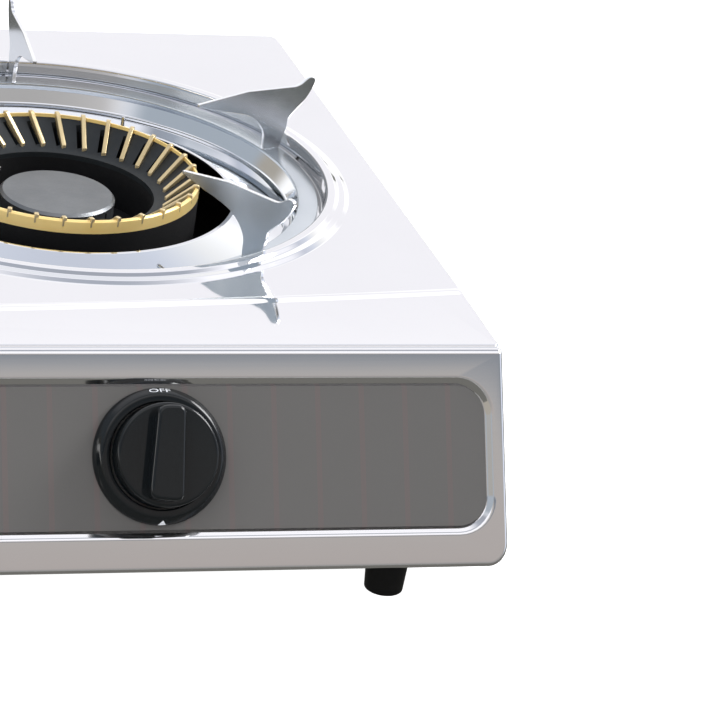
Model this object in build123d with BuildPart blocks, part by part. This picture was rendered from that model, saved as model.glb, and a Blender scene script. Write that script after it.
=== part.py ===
from build123d import *
import math
import os

os.makedirs("parts", exist_ok=True)

# Body: the pressed steel case. X runs across, front is -Y, Z is up and 0 is the table
BODY_WIDTH = 710.0
BODY_DEPTH = 391.0
SHEET = 0.8
PANEL_SLANT = 88.4
PANEL_LEAN = 30.2
PANEL_BEND = 2.0
NOSE_BEND = 1.2
NOSE_WIDTH = 2.5
SEAM_GAP = 1.2
SIDE_BEND = 8.5
REAR_BEND = 4.5
FLANGE_WIDTH = 24.0
FRAME_WALL = 1.0
FRAME_DEPTH = 3.5
SHELF_WIDTH = 7.0

# Top plate: a shallow tray turned over the case
RIM_DEPTH = 8.0
STRIP_DROP = 1.0
RIDGE_AT_SIDE = 51.5
RIDGE_AT_MIDDLE = 30.5
PLATE_CORNER = 2.5
PLATE_EDGE = 1.4

# Recess of the front panel and the grey fascia that lies in it
RECESS_TOP = 11.5
RECESS_HEIGHT = 62.4
RECESS_SIDE = 5.4
RECESS_CORNER = 15.0
RECESS_DEPTH = 2.2
RECESS_SLOPE = 52.0
FASCIA_THICKNESS = 1.0

# Clearances between pieces
SEAT_GAP = 0.3
RUNNING = 0.06
SCREW_PLAY = 0.3

# Feet and their screws
FOOT_HEIGHT = 15.5
FOOT_TOP_RADIUS = 8.8
FOOT_LOW_RADIUS = 7.8
FOOT_FROM_SIDE = 47.0
FOOT_FROM_EDGE = 14.5
FOOT_SCREW_RADIUS = 2.0
FOOT_SCREW_HEAD_RADIUS = 3.8
FOOT_SCREW_HEAD_HEIGHT = 2.4
FOOT_BORE_DEPTH = 9.0
SCREW_REACH = 2.0

# Base plate, its air slots and its dome-headed screws
BASE_FROM_SIDE = 9.4
BASE_FROM_EDGE = 6.8
AIR_SLOT_LENGTH = 46.0
AIR_SLOT_WIDTH = 5.0
AIR_SLOT_PITCH_X = 60.0
AIR_SLOT_PITCH_Y = 24.0
AIR_SLOTS_ACROSS = 2
AIR_SLOTS_DEEP = 3
BASE_SCREW_RADIUS = 1.8
BASE_SCREW_HEAD_RADIUS = 3.6
BASE_SCREW_HEAD_HEIGHT = 3.2
BASE_SCREW_FROM_SIDE = 33.0
BASE_SCREW_FROM_EDGE = 11.0
BASE_SCREW_INNER_X = 118.0

# Burners: two large ones and a small one between them
BURNER_X = 212.8
BURNER_FROM_REAR = 163.8
SMALL_BURNER_SHIFT = 20.0
BIG_WELL_RADIUS = 114.9
SMALL_WELL_RADIUS = 69.5
BIG_HOLE_RADIUS = 75.5
SMALL_HOLE_RADIUS = 44.0
BIG_RING_RADIUS = 60.5
SMALL_RING_RADIUS = 33.0
BIG_THROAT_RADIUS = 41.7
SMALL_THROAT_RADIUS = 20.0
BIG_TIP_RADIUS = 67.0
SMALL_TIP_RADIUS = 38.0
BIG_RIBS = 32
SMALL_RIBS = 18

# Embossed ring round each well of the top plate
EMBOSS_WIDTH = 10.3
EMBOSS_HEIGHT = 3.0
CREST_WIDTH = 3.6
CREST_ROUND = 1.0
WELL_DEPTH = 5.8
WELL_LEDGE = 7.4

# Drip pan
PAN_GAP = 2.3
PAN_RIM = 6.0
PAN_WALL_RUN = 5.0
PAN_DEPTH = 7.5
PAN_GUTTER = 3.0
PAN_LIP_RISE = 5.0
PAN_LIP = 1.6
PAN_BEND = 1.6

# Trivet: a flat ring with upright fins
TRIVET_RING_WIDTH = 8.7
TRIVET_RING_THICKNESS = 1.5
TRIVET_PLAY = 0.4
FINS = 5
FIRST_FIN_AZIMUTH = -55.0
FIN_THICKNESS = 1.8
FIN_TOP = 25.3
FIN_TIP_TOP = 21.5
FIN_TIP_LOW = 20.2
FIN_HORN_TOP = 29.0
FIN_HORN_REACH = 15.0
FIN_HORN_DROP = 2.0
FIN_HORN_WIDTH = 3.0
FIN_DIP_REACH = 3.0
FIN_DIP_RISE = 1.0
FIN_WAIST = 2.6
FIN_WAIST_Z = 5.5
FIN_NECK = 3.6
FIN_NECK_Z = 11.0
FIN_JAW = 11.0
FIN_JAW_Z = 19.0
FIN_INSTEP = 1.0
FIN_SHOULDER = 5.0
FIN_HEEL_RUN = 8.7
FIN_HEEL_Z = 13.0
FIN_ELBOW_SHARE = 0.46
FIN_ELBOW_Z = 17.0

# Brass flame ring
RING_WALL = 5.8
FUNNEL_DEPTH = 10.6
RIM_WIDTH = 1.4
SLEEVE_WALL = 2.6
SLEEVE_DEPTH = 3.0
RIB_HEIGHT = 1.5
RIB_WIDTH = 1.3
RIB_SWIRL = 16.0
RIB_INSET = 4.5
RING_SHEET = 2.4
PORT_WIDTH = 1.3
PORT_INSET = 1.6

# Centre cap of a large burner
CAP_RADIUS = 25.0
CAP_HEIGHT = 7.0
CAP_NOTCHES = 16
CAP_NOTCH_WIDTH = 1.6
CAP_NOTCH_DEPTH = 2.4
CAP_SEAT_DROP = 9.0
CAP_SPIGOT = 3.0
CAP_SEAT = 3.0
CAP_CHAMFER = 1.2

# Cast burner head
HEAD_WALL = 3.0
TROUGH_DEPTH = 34.0
TROUGH_FLOOR = 3.5
NECK_RADIUS = 18.0
NECK_BORE = 9.0
NECK_BOSS_RADIUS = 13.0
NECK_BOSS_REACH = 30.0
HEAD_FOOT_Z = 30.0

# Mixing tube, air shutter and injector, all on one level line
TUBE_AXIS_Z = 43.0
TUBE_RADIUS = 11.0
TUBE_WALL = 1.5
THROAT_RADIUS = 8.5
BELL_RADIUS = 14.0
BELL_LENGTH = 14.0
BELL_CONE = 16.0
THROAT_CONE = 34.0
AIR_PORT_HEIGHT = 7.0
AIR_PORT_LENGTH = 7.0
AIR_PORT_START = 3.0
SHUTTER_SET_BACK = 1.5
SHUTTER_WALL = 1.2
SHUTTER_LENGTH = 10.0
JET_RADIUS = 4.0
JET_HEX_RADIUS = 4.6
JET_HEX_LENGTH = 4.0
JET_LENGTH = 11.0
JET_BORE = 0.6
JET_CLEARANCE = 1.5
HEX_SIDES = 6

# Spark electrode
CERAMIC_RADIUS = 2.5
CERAMIC_COLLAR_RADIUS = 4.0
CERAMIC_COLLAR_HEIGHT = 3.0
CERAMIC_TOP = 4.0
CERAMIC_LOW = 45.0
BIG_ELECTRODE_RADIUS = 67.8
SMALL_ELECTRODE_RADIUS = 38.4
ELECTRODE_AZIMUTH = 53.0
LUG_DROP = 26.0
LUG_THICKNESS = 3.0
LUG_WIDTH = 9.0
PIN_RADIUS = 0.8
PIN_LENGTH = 5.0
LEAD_RADIUS = 1.2
LEAD_SIDE = 6.0
LEAD_RISE = 20.0
LEAD_DIP = 12.0
LEAD_STEP_X = 16.0
LEAD_STEP_Y = 44.0
LEAD_BEND = 8.0

# Burner bracket
BRACKET_SHEET = 1.2
BRACKET_TOP_WIDTH = 40.0
BRACKET_FOOT_WIDTH = 12.0
BRACKET_DEPTH = 30.0

# Gas tap, plug and stem, on the axis of each knob
KNOB_X = 210.8
KNOB_DOWN = 42.1
TAP_RADIUS = 9.0
TAP_LENGTH = 25.0
PLUG_RADIUS = 5.0
PLUG_START = 14.0
PLUG_LENGTH = 12.0
PLUG_END_PLAY = 0.1
STEM_RADIUS = 3.0
STEM_FLAT = 2.0
STEM_INTO_PLUG = 4.0
STEM_INTO_KNOB = 9.0
STEM_HOLE_RADIUS = 6.5
OUTLET_WIDTH = 18.0
OUTLET_DEPTH = 18.0
OUTLET_BACK = 39.0
OUTLET_HEIGHT = 15.0
TAP_LEG_RADIUS = 6.0
TAP_LEG_BACK = 27.0

# Manifold, supply pipe and inlet nozzle
PIPE_RADIUS = 5.0
PIPE_WALL = 1.2
PIPE_Z = 25.8
SPIGOT_RADIUS = 4.5
SPIGOT_TOP_Z = 32.0
MANIFOLD_OVERRUN = 16.0
SUPPLY_X = -300.0
ELBOW_SIZE = 12.0
NOZZLE_RADIUS = 4.75
NOZZLE_LENGTH = 24.0
NOZZLE_BORE = 3.0
NOZZLE_COLLAR_RADIUS = 6.5
NOZZLE_COLLAR_LENGTH = 6.0
NOZZLE_SHANK_RADIUS = 5.5
NOZZLE_SHANK_PROUD = 3.0

# Knob and bezel
BEZEL_RADIUS = 27.0
BEZEL_HEIGHT = 5.0
BEZEL_SKIRT = 1.6
BEZEL_TOP_RADIUS = 24.4
KNOB_RADIUS = 20.5
KNOB_BACK = 3.0
KNOB_HEIGHT = 10.4
KNOB_EDGE = 1.6
KNOB_PLAY = 0.5
GRIP_WIDTH = 11.0
GRIP_HEIGHT = 8.0
GRIP_EDGE = 1.5

# Levels and lines worked out from the sizes above
lean = math.radians(PANEL_LEAN)
half_width = BODY_WIDTH / 2
rear_y = BODY_DEPTH / 2
base_z = FOOT_HEIGHT
panel_low_y = -BODY_DEPTH / 2
panel_top_y = panel_low_y + PANEL_SLANT * math.sin(lean)
panel_top_z = base_z + PANEL_SLANT * math.cos(lean)
seam_y = panel_top_y + NOSE_WIDTH
plate_front_y = seam_y + SEAM_GAP
top_z = panel_top_z + STRIP_DROP
rim_low_z = top_z - RIM_DEPTH
base_top_z = base_z + 2 * SHEET
panel_plane = Plane(
    origin=(0, panel_top_y, panel_top_z),
    x_dir=(1, 0, 0),
    z_dir=(0, -math.cos(lean), math.sin(lean)),
)
big_burner_y = rear_y - BURNER_FROM_REAR
small_burner_y = big_burner_y + SMALL_BURNER_SHIFT
pan_rim_z = SHEET - WELL_DEPTH
trivet_z = pan_rim_z + TRIVET_RING_THICKNESS
fascia_front = FASCIA_THICKNESS - RECESS_DEPTH
recess_back = RECESS_DEPTH + SHEET
knob_line_y = panel_top_y - KNOB_DOWN * math.sin(lean)
tap_leg_y = knob_line_y + TAP_LEG_BACK
jet_start_y = knob_line_y + OUTLET_BACK
bell_y = jet_start_y + JET_LENGTH / 2


class Burner:
    """One burner's place and the sizes that differ between large and small."""

    def __init__(self, name, x, big):
        self.name = name
        self.x = x
        self.big = big
        self.y = big_burner_y if big else small_burner_y
        self.well = BIG_WELL_RADIUS if big else SMALL_WELL_RADIUS
        self.hole = BIG_HOLE_RADIUS if big else SMALL_HOLE_RADIUS
        self.ring = BIG_RING_RADIUS if big else SMALL_RING_RADIUS
        self.throat = BIG_THROAT_RADIUS if big else SMALL_THROAT_RADIUS
        self.tip = BIG_TIP_RADIUS if big else SMALL_TIP_RADIUS
        self.ribs = BIG_RIBS if big else SMALL_RIBS
        self.electrode = BIG_ELECTRODE_RADIUS if big else SMALL_ELECTRODE_RADIUS
        self.pan = self.well - PAN_GAP
        self.knob_x = math.copysign(KNOB_X, x) if x else 0.0
        self.axis = Axis((x, self.y, 0), (0, 0, 1))
        azimuth = math.radians(ELECTRODE_AZIMUTH)
        self.electrode_x = x + self.electrode * math.cos(azimuth)
        self.electrode_y = self.y + self.electrode * math.sin(azimuth)

    def section(self):
        """The upright plane through the burner, with its radius along local x."""
        return Plane(origin=(self.x, self.y, top_z), x_dir=(1, 0, 0), z_dir=(0, -1, 0))


BURNERS = [
    Burner("left", -BURNER_X, True),
    Burner("middle", 0.0, False),
    Burner("right", BURNER_X, True),
]


def save(builder, name):
    builder.part.label = name
    export_step(builder.part, f"parts/{name}.step")


# Closed outline of a sheet that follows a path, with its thickness on the left of the path
def sheet_band(path, thickness):
    far_side = []
    for index, (x, y) in enumerate(path):
        before = path[max(index - 1, 0)]
        after = path[min(index + 1, len(path) - 1)]
        into = math.atan2(y - before[1], x - before[0])
        out = math.atan2(after[1] - y, after[0] - x)
        if index == 0:
            into = out
        if index == len(path) - 1:
            out = into
        turn = math.remainder(out - into, math.tau)
        middle = into + turn / 2 + math.pi / 2
        reach = thickness / math.cos(turn / 2)
        far_side.append((x + reach * math.cos(middle), y + reach * math.sin(middle)))
    return [*path, *reversed(far_side)]


# Rectangle that is as wide as given on both sides of the centre line, between two Y lines
def span_rectangle(half, y_low, y_high, mode=Mode.ADD):
    with Locations((0, (y_low + y_high) / 2)):
        Rectangle(2 * half, y_high - y_low, mode=mode)


# Ring drawn as a rectangle of a turned section, between two radii and two levels
def ring_rectangle(inner, outer, low, high):
    with Locations(((inner + outer) / 2, (low + high) / 2)):
        Rectangle(outer - inner, high - low)


# Round bar with one flat, as on the stem of a gas tap
def d_profile(play, mode=Mode.ADD):
    with BuildSketch(mode=Mode.PRIVATE) as profile:
        Circle(STEM_RADIUS + play)
        with Locations((0, STEM_FLAT + play + STEM_RADIUS)):
            Rectangle(2 * PLUG_RADIUS, 2 * STEM_RADIUS, mode=Mode.SUBTRACT)
    add(profile.sketch_local, mode=mode)


# Centres of the feet and of the base screws
foot_x = half_width - FOOT_FROM_SIDE
foot_spots = [
    (side * foot_x, y)
    for side in (-1, 1)
    for y in (panel_low_y + FOOT_FROM_EDGE, rear_y - FOOT_FROM_EDGE)
]
screw_xs = (half_width - BASE_SCREW_FROM_SIDE, BASE_SCREW_INNER_X)
base_screw_spots = [
    (side * x, y)
    for side in (-1, 1)
    for x in screw_xs
    for y in (panel_low_y + BASE_SCREW_FROM_EDGE, rear_y - BASE_SCREW_FROM_EDGE)
]


# Body shell: front panel, sides and back in one pressed sheet, open above
def make_body_shell():
    with BuildPart() as body_shell:
        with BuildSketch(Plane.YZ.offset(-half_width)):
            with BuildLine():
                Polyline(
                    (panel_low_y, base_z),
                    (panel_top_y, panel_top_z),
                    (seam_y, panel_top_z),
                    (seam_y, rim_low_z),
                    (rear_y, rim_low_z),
                    (rear_y, base_z),
                    close=True,
                )
            make_face()
        extrude(amount=BODY_WIDTH)
        fillet(body_shell.edges().filter_by(Axis.Y).group_by(Axis.Z)[0], SIDE_BEND)
        panel = body_shell.faces().sort_by(Axis.Y)[0]
        panel_edges = panel.edges().sort_by(Axis.Z)
        fillet(panel_edges[:-1], PANEL_BEND)
        back = body_shell.faces().sort_by(Axis.Y)[-1]
        fillet(back.edges().sort_by(Axis.Z)[:-1], REAR_BEND)
        nose_edge = (
            body_shell.edges()
            .filter_by(Axis.X)
            .filter_by(lambda edge: abs(edge.center().Y - panel_top_y) < SHEET)
        )
        fillet(nose_edge, NOSE_BEND)
        mouth = body_shell.faces().filter_by(Axis.Z).sort_by(Axis.Z)[-2:-1]
        mouth += body_shell.faces().filter_by(Axis.Y).filter_by(
            lambda face: abs(face.center().Y - seam_y) < SHEET
        )
        offset(amount=-SHEET, openings=mouth)

        # Window in the bottom, which leaves a flange all round
        with BuildSketch(Plane.XY.offset(base_z)):
            Rectangle(BODY_WIDTH - 2 * FLANGE_WIDTH, BODY_DEPTH - 2 * FLANGE_WIDTH)
        extrude(amount=SHEET, mode=Mode.SUBTRACT)
        with BuildSketch(Plane.XY.offset(base_z)):
            with Locations(*foot_spots):
                Circle(FOOT_SCREW_RADIUS + SCREW_PLAY)
            with Locations(*base_screw_spots):
                Circle(BASE_SCREW_RADIUS + SCREW_PLAY)
        extrude(amount=SHEET, mode=Mode.SUBTRACT)

        # Pressed recess with sloping walls in the front panel
        slope_wall = SHEET / math.cos(math.radians(RECESS_SLOPE))
        recess_middle = -RECESS_TOP - RECESS_HEIGHT / 2
        recess_width = BODY_WIDTH - 2 * RECESS_SIDE
        with BuildSketch(panel_plane):
            with Locations((0, recess_middle)):
                RectangleRounded(
                    recess_width + 2 * slope_wall,
                    RECESS_HEIGHT + 2 * slope_wall,
                    RECESS_CORNER + slope_wall,
                )
        extrude(amount=-recess_back, taper=RECESS_SLOPE)
        with BuildSketch(panel_plane):
            with Locations((0, recess_middle)):
                RectangleRounded(recess_width, RECESS_HEIGHT, RECESS_CORNER)
        extrude(amount=-RECESS_DEPTH, taper=RECESS_SLOPE, mode=Mode.SUBTRACT)
        with BuildSketch(panel_plane.offset(-RECESS_DEPTH)):
            with Locations(*[(burner.knob_x, -KNOB_DOWN) for burner in BURNERS]):
                Circle(STEM_HOLE_RADIUS)
        extrude(amount=-SHEET, mode=Mode.SUBTRACT)

        # Locating frame inside the rim of the top plate, at the sides and the back
        frame_out = SHEET + SEAT_GAP
        frame_in = frame_out + FRAME_WALL
        frame_top = top_z - SHEET - SEAT_GAP
        frame_low = rim_low_z - FRAME_DEPTH
        frame_start_y = seam_y + RIDGE_AT_SIDE + SEAT_GAP
        with BuildSketch(Plane.XY.offset(frame_low)) as frame_plan:
            span_rectangle(half_width - frame_out, frame_start_y, rear_y - frame_out)
            fillet(frame_plan.vertices().group_by(Axis.Y)[-1], REAR_BEND - frame_out)
            span_rectangle(half_width - frame_in, seam_y, rear_y - frame_in, Mode.SUBTRACT)
        extrude(amount=frame_top - frame_low)
        with BuildSketch(Plane.XY.offset(frame_low)) as band_plan:
            span_rectangle(half_width - SHEET / 2, frame_start_y, rear_y - SHEET / 2)
            fillet(band_plan.vertices().group_by(Axis.Y)[-1], REAR_BEND - SHEET / 2)
            span_rectangle(half_width - frame_in, seam_y, rear_y - frame_in, Mode.SUBTRACT)
        extrude(amount=FRAME_DEPTH - SEAT_GAP)

        # Shelf behind the front panel, which carries the front lip of the top plate
        shelf_start_y = panel_top_y - (panel_top_z - rim_low_z) * math.tan(lean) + SHEET
        shelf_end_y = plate_front_y + SHELF_WIDTH
        with BuildSketch(Plane.XY.offset(rim_low_z)):
            span_rectangle(half_width - SHEET / 2, shelf_start_y, shelf_end_y)
        extrude(amount=-SHEET)

        # Hole for the inlet nozzle in the back
        with BuildSketch(Plane.XZ.offset(-rear_y)):
            with Locations((SUPPLY_X, PIPE_Z)):
                Circle(NOZZLE_SHANK_RADIUS + SEAT_GAP)
        extrude(amount=SHEET, mode=Mode.SUBTRACT)
    save(body_shell, "body_shell")


# Plan of the strip of the top plate in front of the ridge
def strip_plan(half):
    side_y = seam_y + RIDGE_AT_SIDE
    with BuildSketch(mode=Mode.PRIVATE) as plan:
        with BuildLine():
            Polyline(
                (half, side_y), (half, plate_front_y), (-half, plate_front_y), (-half, side_y)
            )
            ThreePointArc((-half, side_y), (0, seam_y + RIDGE_AT_MIDDLE), (half, side_y))
        make_face()
    return plan.sketch_local


# Top plate: a tray with a sloping front strip and a raised ring round each well
def make_top_plate():
    ridge_side_y = seam_y + RIDGE_AT_SIDE
    inner_half = half_width - SHEET

    # Air above the strip: it slopes from the ridge down to the seam
    with BuildPart() as wedge:
        with BuildSketch(Plane.XY.offset(top_z - 2 * STRIP_DROP)):
            add(strip_plan(half_width + SHEET))
        extrude(amount=2 * STRIP_DROP + RIM_DEPTH)
        with BuildSketch(Plane.YZ.offset(-BODY_WIDTH)):
            with BuildLine():
                Polyline(
                    (seam_y - NOSE_WIDTH, top_z - STRIP_DROP),
                    (plate_front_y, top_z - STRIP_DROP),
                    (ridge_side_y, top_z),
                    (ridge_side_y, top_z + RIM_DEPTH),
                    (seam_y - NOSE_WIDTH, top_z + RIM_DEPTH),
                    close=True,
                )
            make_face()
        extrude(amount=2 * BODY_WIDTH, mode=Mode.INTERSECT)

    with BuildPart() as top_plate:
        with BuildSketch(Plane.XY.offset(rim_low_z)) as tray_plan:
            span_rectangle(half_width, plate_front_y, rear_y)
            fillet(tray_plan.vertices().group_by(Axis.Y)[0], PLATE_CORNER)
            fillet(tray_plan.vertices().group_by(Axis.Y)[-1], REAR_BEND)
        extrude(amount=RIM_DEPTH)
        fillet(top_plate.faces().sort_by(Axis.Z)[-1].edges(), PLATE_EDGE)
        offset(amount=-SHEET, openings=top_plate.faces().sort_by(Axis.Z)[:1])
        with BuildSketch(Plane.XY.offset(top_z - SHEET)):
            add(strip_plan(inner_half))
        extrude(amount=-STRIP_DROP)
        add(wedge.part, mode=Mode.SUBTRACT)
        with BuildSketch(Plane.XY.offset(top_z)):
            for burner in BURNERS:
                with Locations((burner.x, burner.y)):
                    Circle(burner.well + EMBOSS_WIDTH + SHEET / 2)
        extrude(amount=-SHEET, mode=Mode.SUBTRACT)
        for burner in BURNERS:
            well = burner.well
            crest = well + CREST_ROUND
            path = [
                (well + EMBOSS_WIDTH + SHEET, 0),
                (well + EMBOSS_WIDTH, 0),
                (crest + CREST_WIDTH, EMBOSS_HEIGHT),
                (crest, EMBOSS_HEIGHT),
                (well, EMBOSS_HEIGHT - CREST_ROUND),
                (well, -WELL_DEPTH),
                (well - WELL_LEDGE, -WELL_DEPTH),
            ]
            with BuildSketch(burner.section()):
                with BuildLine():
                    Polyline(*sheet_band(path, SHEET), close=True)
                make_face()
            revolve(axis=burner.axis)
    save(top_plate, "top_plate")


# Grey fascia on the floor of the recess
def make_fascia():
    edge = RECESS_DEPTH * math.tan(math.radians(RECESS_SLOPE)) + SEAT_GAP
    with BuildPart() as fascia_plate:
        with BuildSketch(panel_plane.offset(-RECESS_DEPTH)):
            with Locations((0, -RECESS_TOP - RECESS_HEIGHT / 2)):
                RectangleRounded(
                    BODY_WIDTH - 2 * RECESS_SIDE - 2 * edge,
                    RECESS_HEIGHT - 2 * edge,
                    RECESS_CORNER - edge,
                )
            with Locations(*[(burner.knob_x, -KNOB_DOWN) for burner in BURNERS]):
                Circle(STEM_HOLE_RADIUS, mode=Mode.SUBTRACT)
        extrude(amount=FASCIA_THICKNESS)
    save(fascia_plate, "fascia_plate")


# Base plate that closes the case from inside, with its air slots
def make_base_plate():
    with BuildPart() as base_plate:
        with BuildSketch(Plane.XY.offset(base_z + SHEET)):
            span_rectangle(
                half_width - BASE_FROM_SIDE,
                panel_low_y + BASE_FROM_EDGE,
                rear_y - BASE_FROM_EDGE,
            )
            with Locations(*foot_spots):
                Circle(FOOT_SCREW_RADIUS + SCREW_PLAY, mode=Mode.SUBTRACT)
            with Locations(*base_screw_spots):
                Circle(BASE_SCREW_RADIUS + SCREW_PLAY, mode=Mode.SUBTRACT)
            for burner in BURNERS:
                with Locations((burner.x, rear_y - BURNER_FROM_REAR / 2)):
                    with GridLocations(
                        AIR_SLOT_PITCH_X, AIR_SLOT_PITCH_Y, AIR_SLOTS_ACROSS, AIR_SLOTS_DEEP
                    ):
                        SlotOverall(AIR_SLOT_LENGTH, AIR_SLOT_WIDTH, mode=Mode.SUBTRACT)
        extrude(amount=SHEET)
    save(base_plate, "base_plate")


# Rubber feet, each with a screw up its middle
def make_feet():
    with BuildPart() as feet:
        for spot in foot_spots:
            with BuildSketch(Plane.XY):
                with Locations(spot):
                    Circle(FOOT_LOW_RADIUS)
            with BuildSketch(Plane.XY.offset(base_z)):
                with Locations(spot):
                    Circle(FOOT_TOP_RADIUS)
            loft()
        with BuildSketch(Plane.XY):
            with Locations(*foot_spots):
                Circle(FOOT_SCREW_HEAD_RADIUS + SCREW_PLAY)
        extrude(amount=FOOT_BORE_DEPTH, mode=Mode.SUBTRACT)
        with BuildSketch(Plane.XY):
            with Locations(*foot_spots):
                Circle(FOOT_SCREW_RADIUS + SCREW_PLAY)
        extrude(amount=base_z, mode=Mode.SUBTRACT)
    save(feet, "feet")

    with BuildPart() as foot_screws:
        with BuildSketch(Plane.XY.offset(FOOT_BORE_DEPTH)):
            with Locations(*foot_spots):
                Circle(FOOT_SCREW_RADIUS)
        extrude(amount=base_top_z + SCREW_REACH - FOOT_BORE_DEPTH)
        with BuildSketch(Plane.XY.offset(FOOT_BORE_DEPTH)):
            with Locations(*foot_spots):
                Circle(FOOT_SCREW_HEAD_RADIUS)
        extrude(amount=-FOOT_SCREW_HEAD_HEIGHT)
    save(foot_screws, "foot_screws")


# Dome-headed screws that hold the base plate to the flange of the case
def make_base_screws():
    dome_radius = (
        BASE_SCREW_HEAD_RADIUS**2 + BASE_SCREW_HEAD_HEIGHT**2
    ) / (2 * BASE_SCREW_HEAD_HEIGHT)
    slope = math.sqrt(0.5)
    with BuildPart() as screw:
        with BuildSketch(Plane.XZ):
            with BuildLine():
                Line((0, 0), (0, -BASE_SCREW_HEAD_HEIGHT))
                ThreePointArc(
                    (0, -BASE_SCREW_HEAD_HEIGHT),
                    (
                        BASE_SCREW_HEAD_RADIUS * slope,
                        dome_radius
                        - BASE_SCREW_HEAD_HEIGHT
                        - math.sqrt(dome_radius**2 - BASE_SCREW_HEAD_RADIUS**2 / 2),
                    ),
                    (BASE_SCREW_HEAD_RADIUS, 0),
                )
                Line((BASE_SCREW_HEAD_RADIUS, 0), (0, 0))
            make_face()
        revolve(axis=Axis.Z)
        with BuildSketch(Plane.XY):
            Circle(BASE_SCREW_RADIUS)
        extrude(amount=2 * SHEET + SCREW_REACH)
    with BuildPart() as base_screws:
        with Locations(*[(x, y, base_z) for x, y in base_screw_spots]):
            add(screw.part)
    save(base_screws, "base_screws")


# Chromed drip pan: a flat rim, a steep wall, a gutter and a raised lip round the hole
def make_drip_pan(burner):
    wall_low = burner.pan - PAN_RIM - PAN_WALL_RUN
    gutter_z = pan_rim_z - PAN_DEPTH
    lip_z = gutter_z + PAN_LIP_RISE
    with BuildPart() as drip_pan:
        with BuildSketch(burner.section()):
            with BuildLine():
                FilletPolyline(
                    (burner.pan, pan_rim_z),
                    (burner.pan - PAN_RIM, pan_rim_z),
                    (wall_low, gutter_z),
                    (wall_low - PAN_GUTTER, gutter_z),
                    (burner.hole + PAN_LIP, lip_z),
                    (burner.hole, lip_z),
                    radius=PAN_BEND,
                )
                offset(amount=SHEET, side=Side.LEFT)
            make_face()
        revolve(axis=burner.axis)
    save(drip_pan, f"drip_pan_{burner.name}")


# Trivet: a flat ring on the rim of the pan, and the fins that stand on it
def make_trivet(burner):
    foot_out = burner.pan - TRIVET_PLAY
    foot_in = foot_out - TRIVET_RING_WIDTH
    with BuildPart() as trivet_ring:
        with BuildSketch(Plane.XY.offset(top_z + pan_rim_z)):
            with Locations((burner.x, burner.y)):
                Circle(foot_out)
                Circle(foot_in, mode=Mode.SUBTRACT)
        extrude(amount=TRIVET_RING_THICKNESS)
    save(trivet_ring, f"trivet_ring_{burner.name}")

    heel = foot_in - FIN_HEEL_RUN
    elbow = burner.tip + FIN_ELBOW_SHARE * (heel - burner.tip)
    shoulder = foot_out + FIN_SHOULDER
    brow = (burner.tip + shoulder) / 2
    with BuildPart() as trivet_fins:
        for index in range(FINS):
            azimuth = math.radians(FIRST_FIN_AZIMUTH) + index * math.tau / FINS
            fin_plane = Plane(
                origin=(burner.x, burner.y, top_z),
                x_dir=(math.cos(azimuth), math.sin(azimuth), 0),
                z_dir=(math.sin(azimuth), -math.cos(azimuth), 0),
            )
            with BuildSketch(fin_plane):
                with BuildLine():
                    Line((foot_in, trivet_z), (foot_out, trivet_z))
                    Spline(
                        (foot_out, trivet_z),
                        (foot_out + FIN_WAIST, FIN_WAIST_Z),
                        (foot_out + FIN_NECK, FIN_NECK_Z),
                        (foot_out + FIN_JAW, FIN_JAW_Z),
                        (foot_out + FIN_HORN_REACH, FIN_HORN_TOP - FIN_HORN_DROP),
                        (foot_out + FIN_HORN_REACH - FIN_HORN_WIDTH, FIN_HORN_TOP),
                        (shoulder + FIN_DIP_REACH, FIN_TOP + FIN_DIP_RISE),
                        (shoulder, FIN_TOP),
                    )
                    Polyline(
                        (shoulder, FIN_TOP),
                        (brow, FIN_TOP),
                        (burner.tip, FIN_TIP_TOP),
                        (burner.tip, FIN_TIP_LOW),
                    )
                    Spline(
                        (burner.tip, FIN_TIP_LOW),
                        (elbow, FIN_ELBOW_Z),
                        (heel, FIN_HEEL_Z),
                        (foot_in - FIN_INSTEP, FIN_WAIST_Z),
                        (foot_in, trivet_z),
                    )
                make_face()
            extrude(amount=FIN_THICKNESS / 2, both=True)
    save(trivet_fins, f"trivet_fins_{burner.name}")


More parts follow.
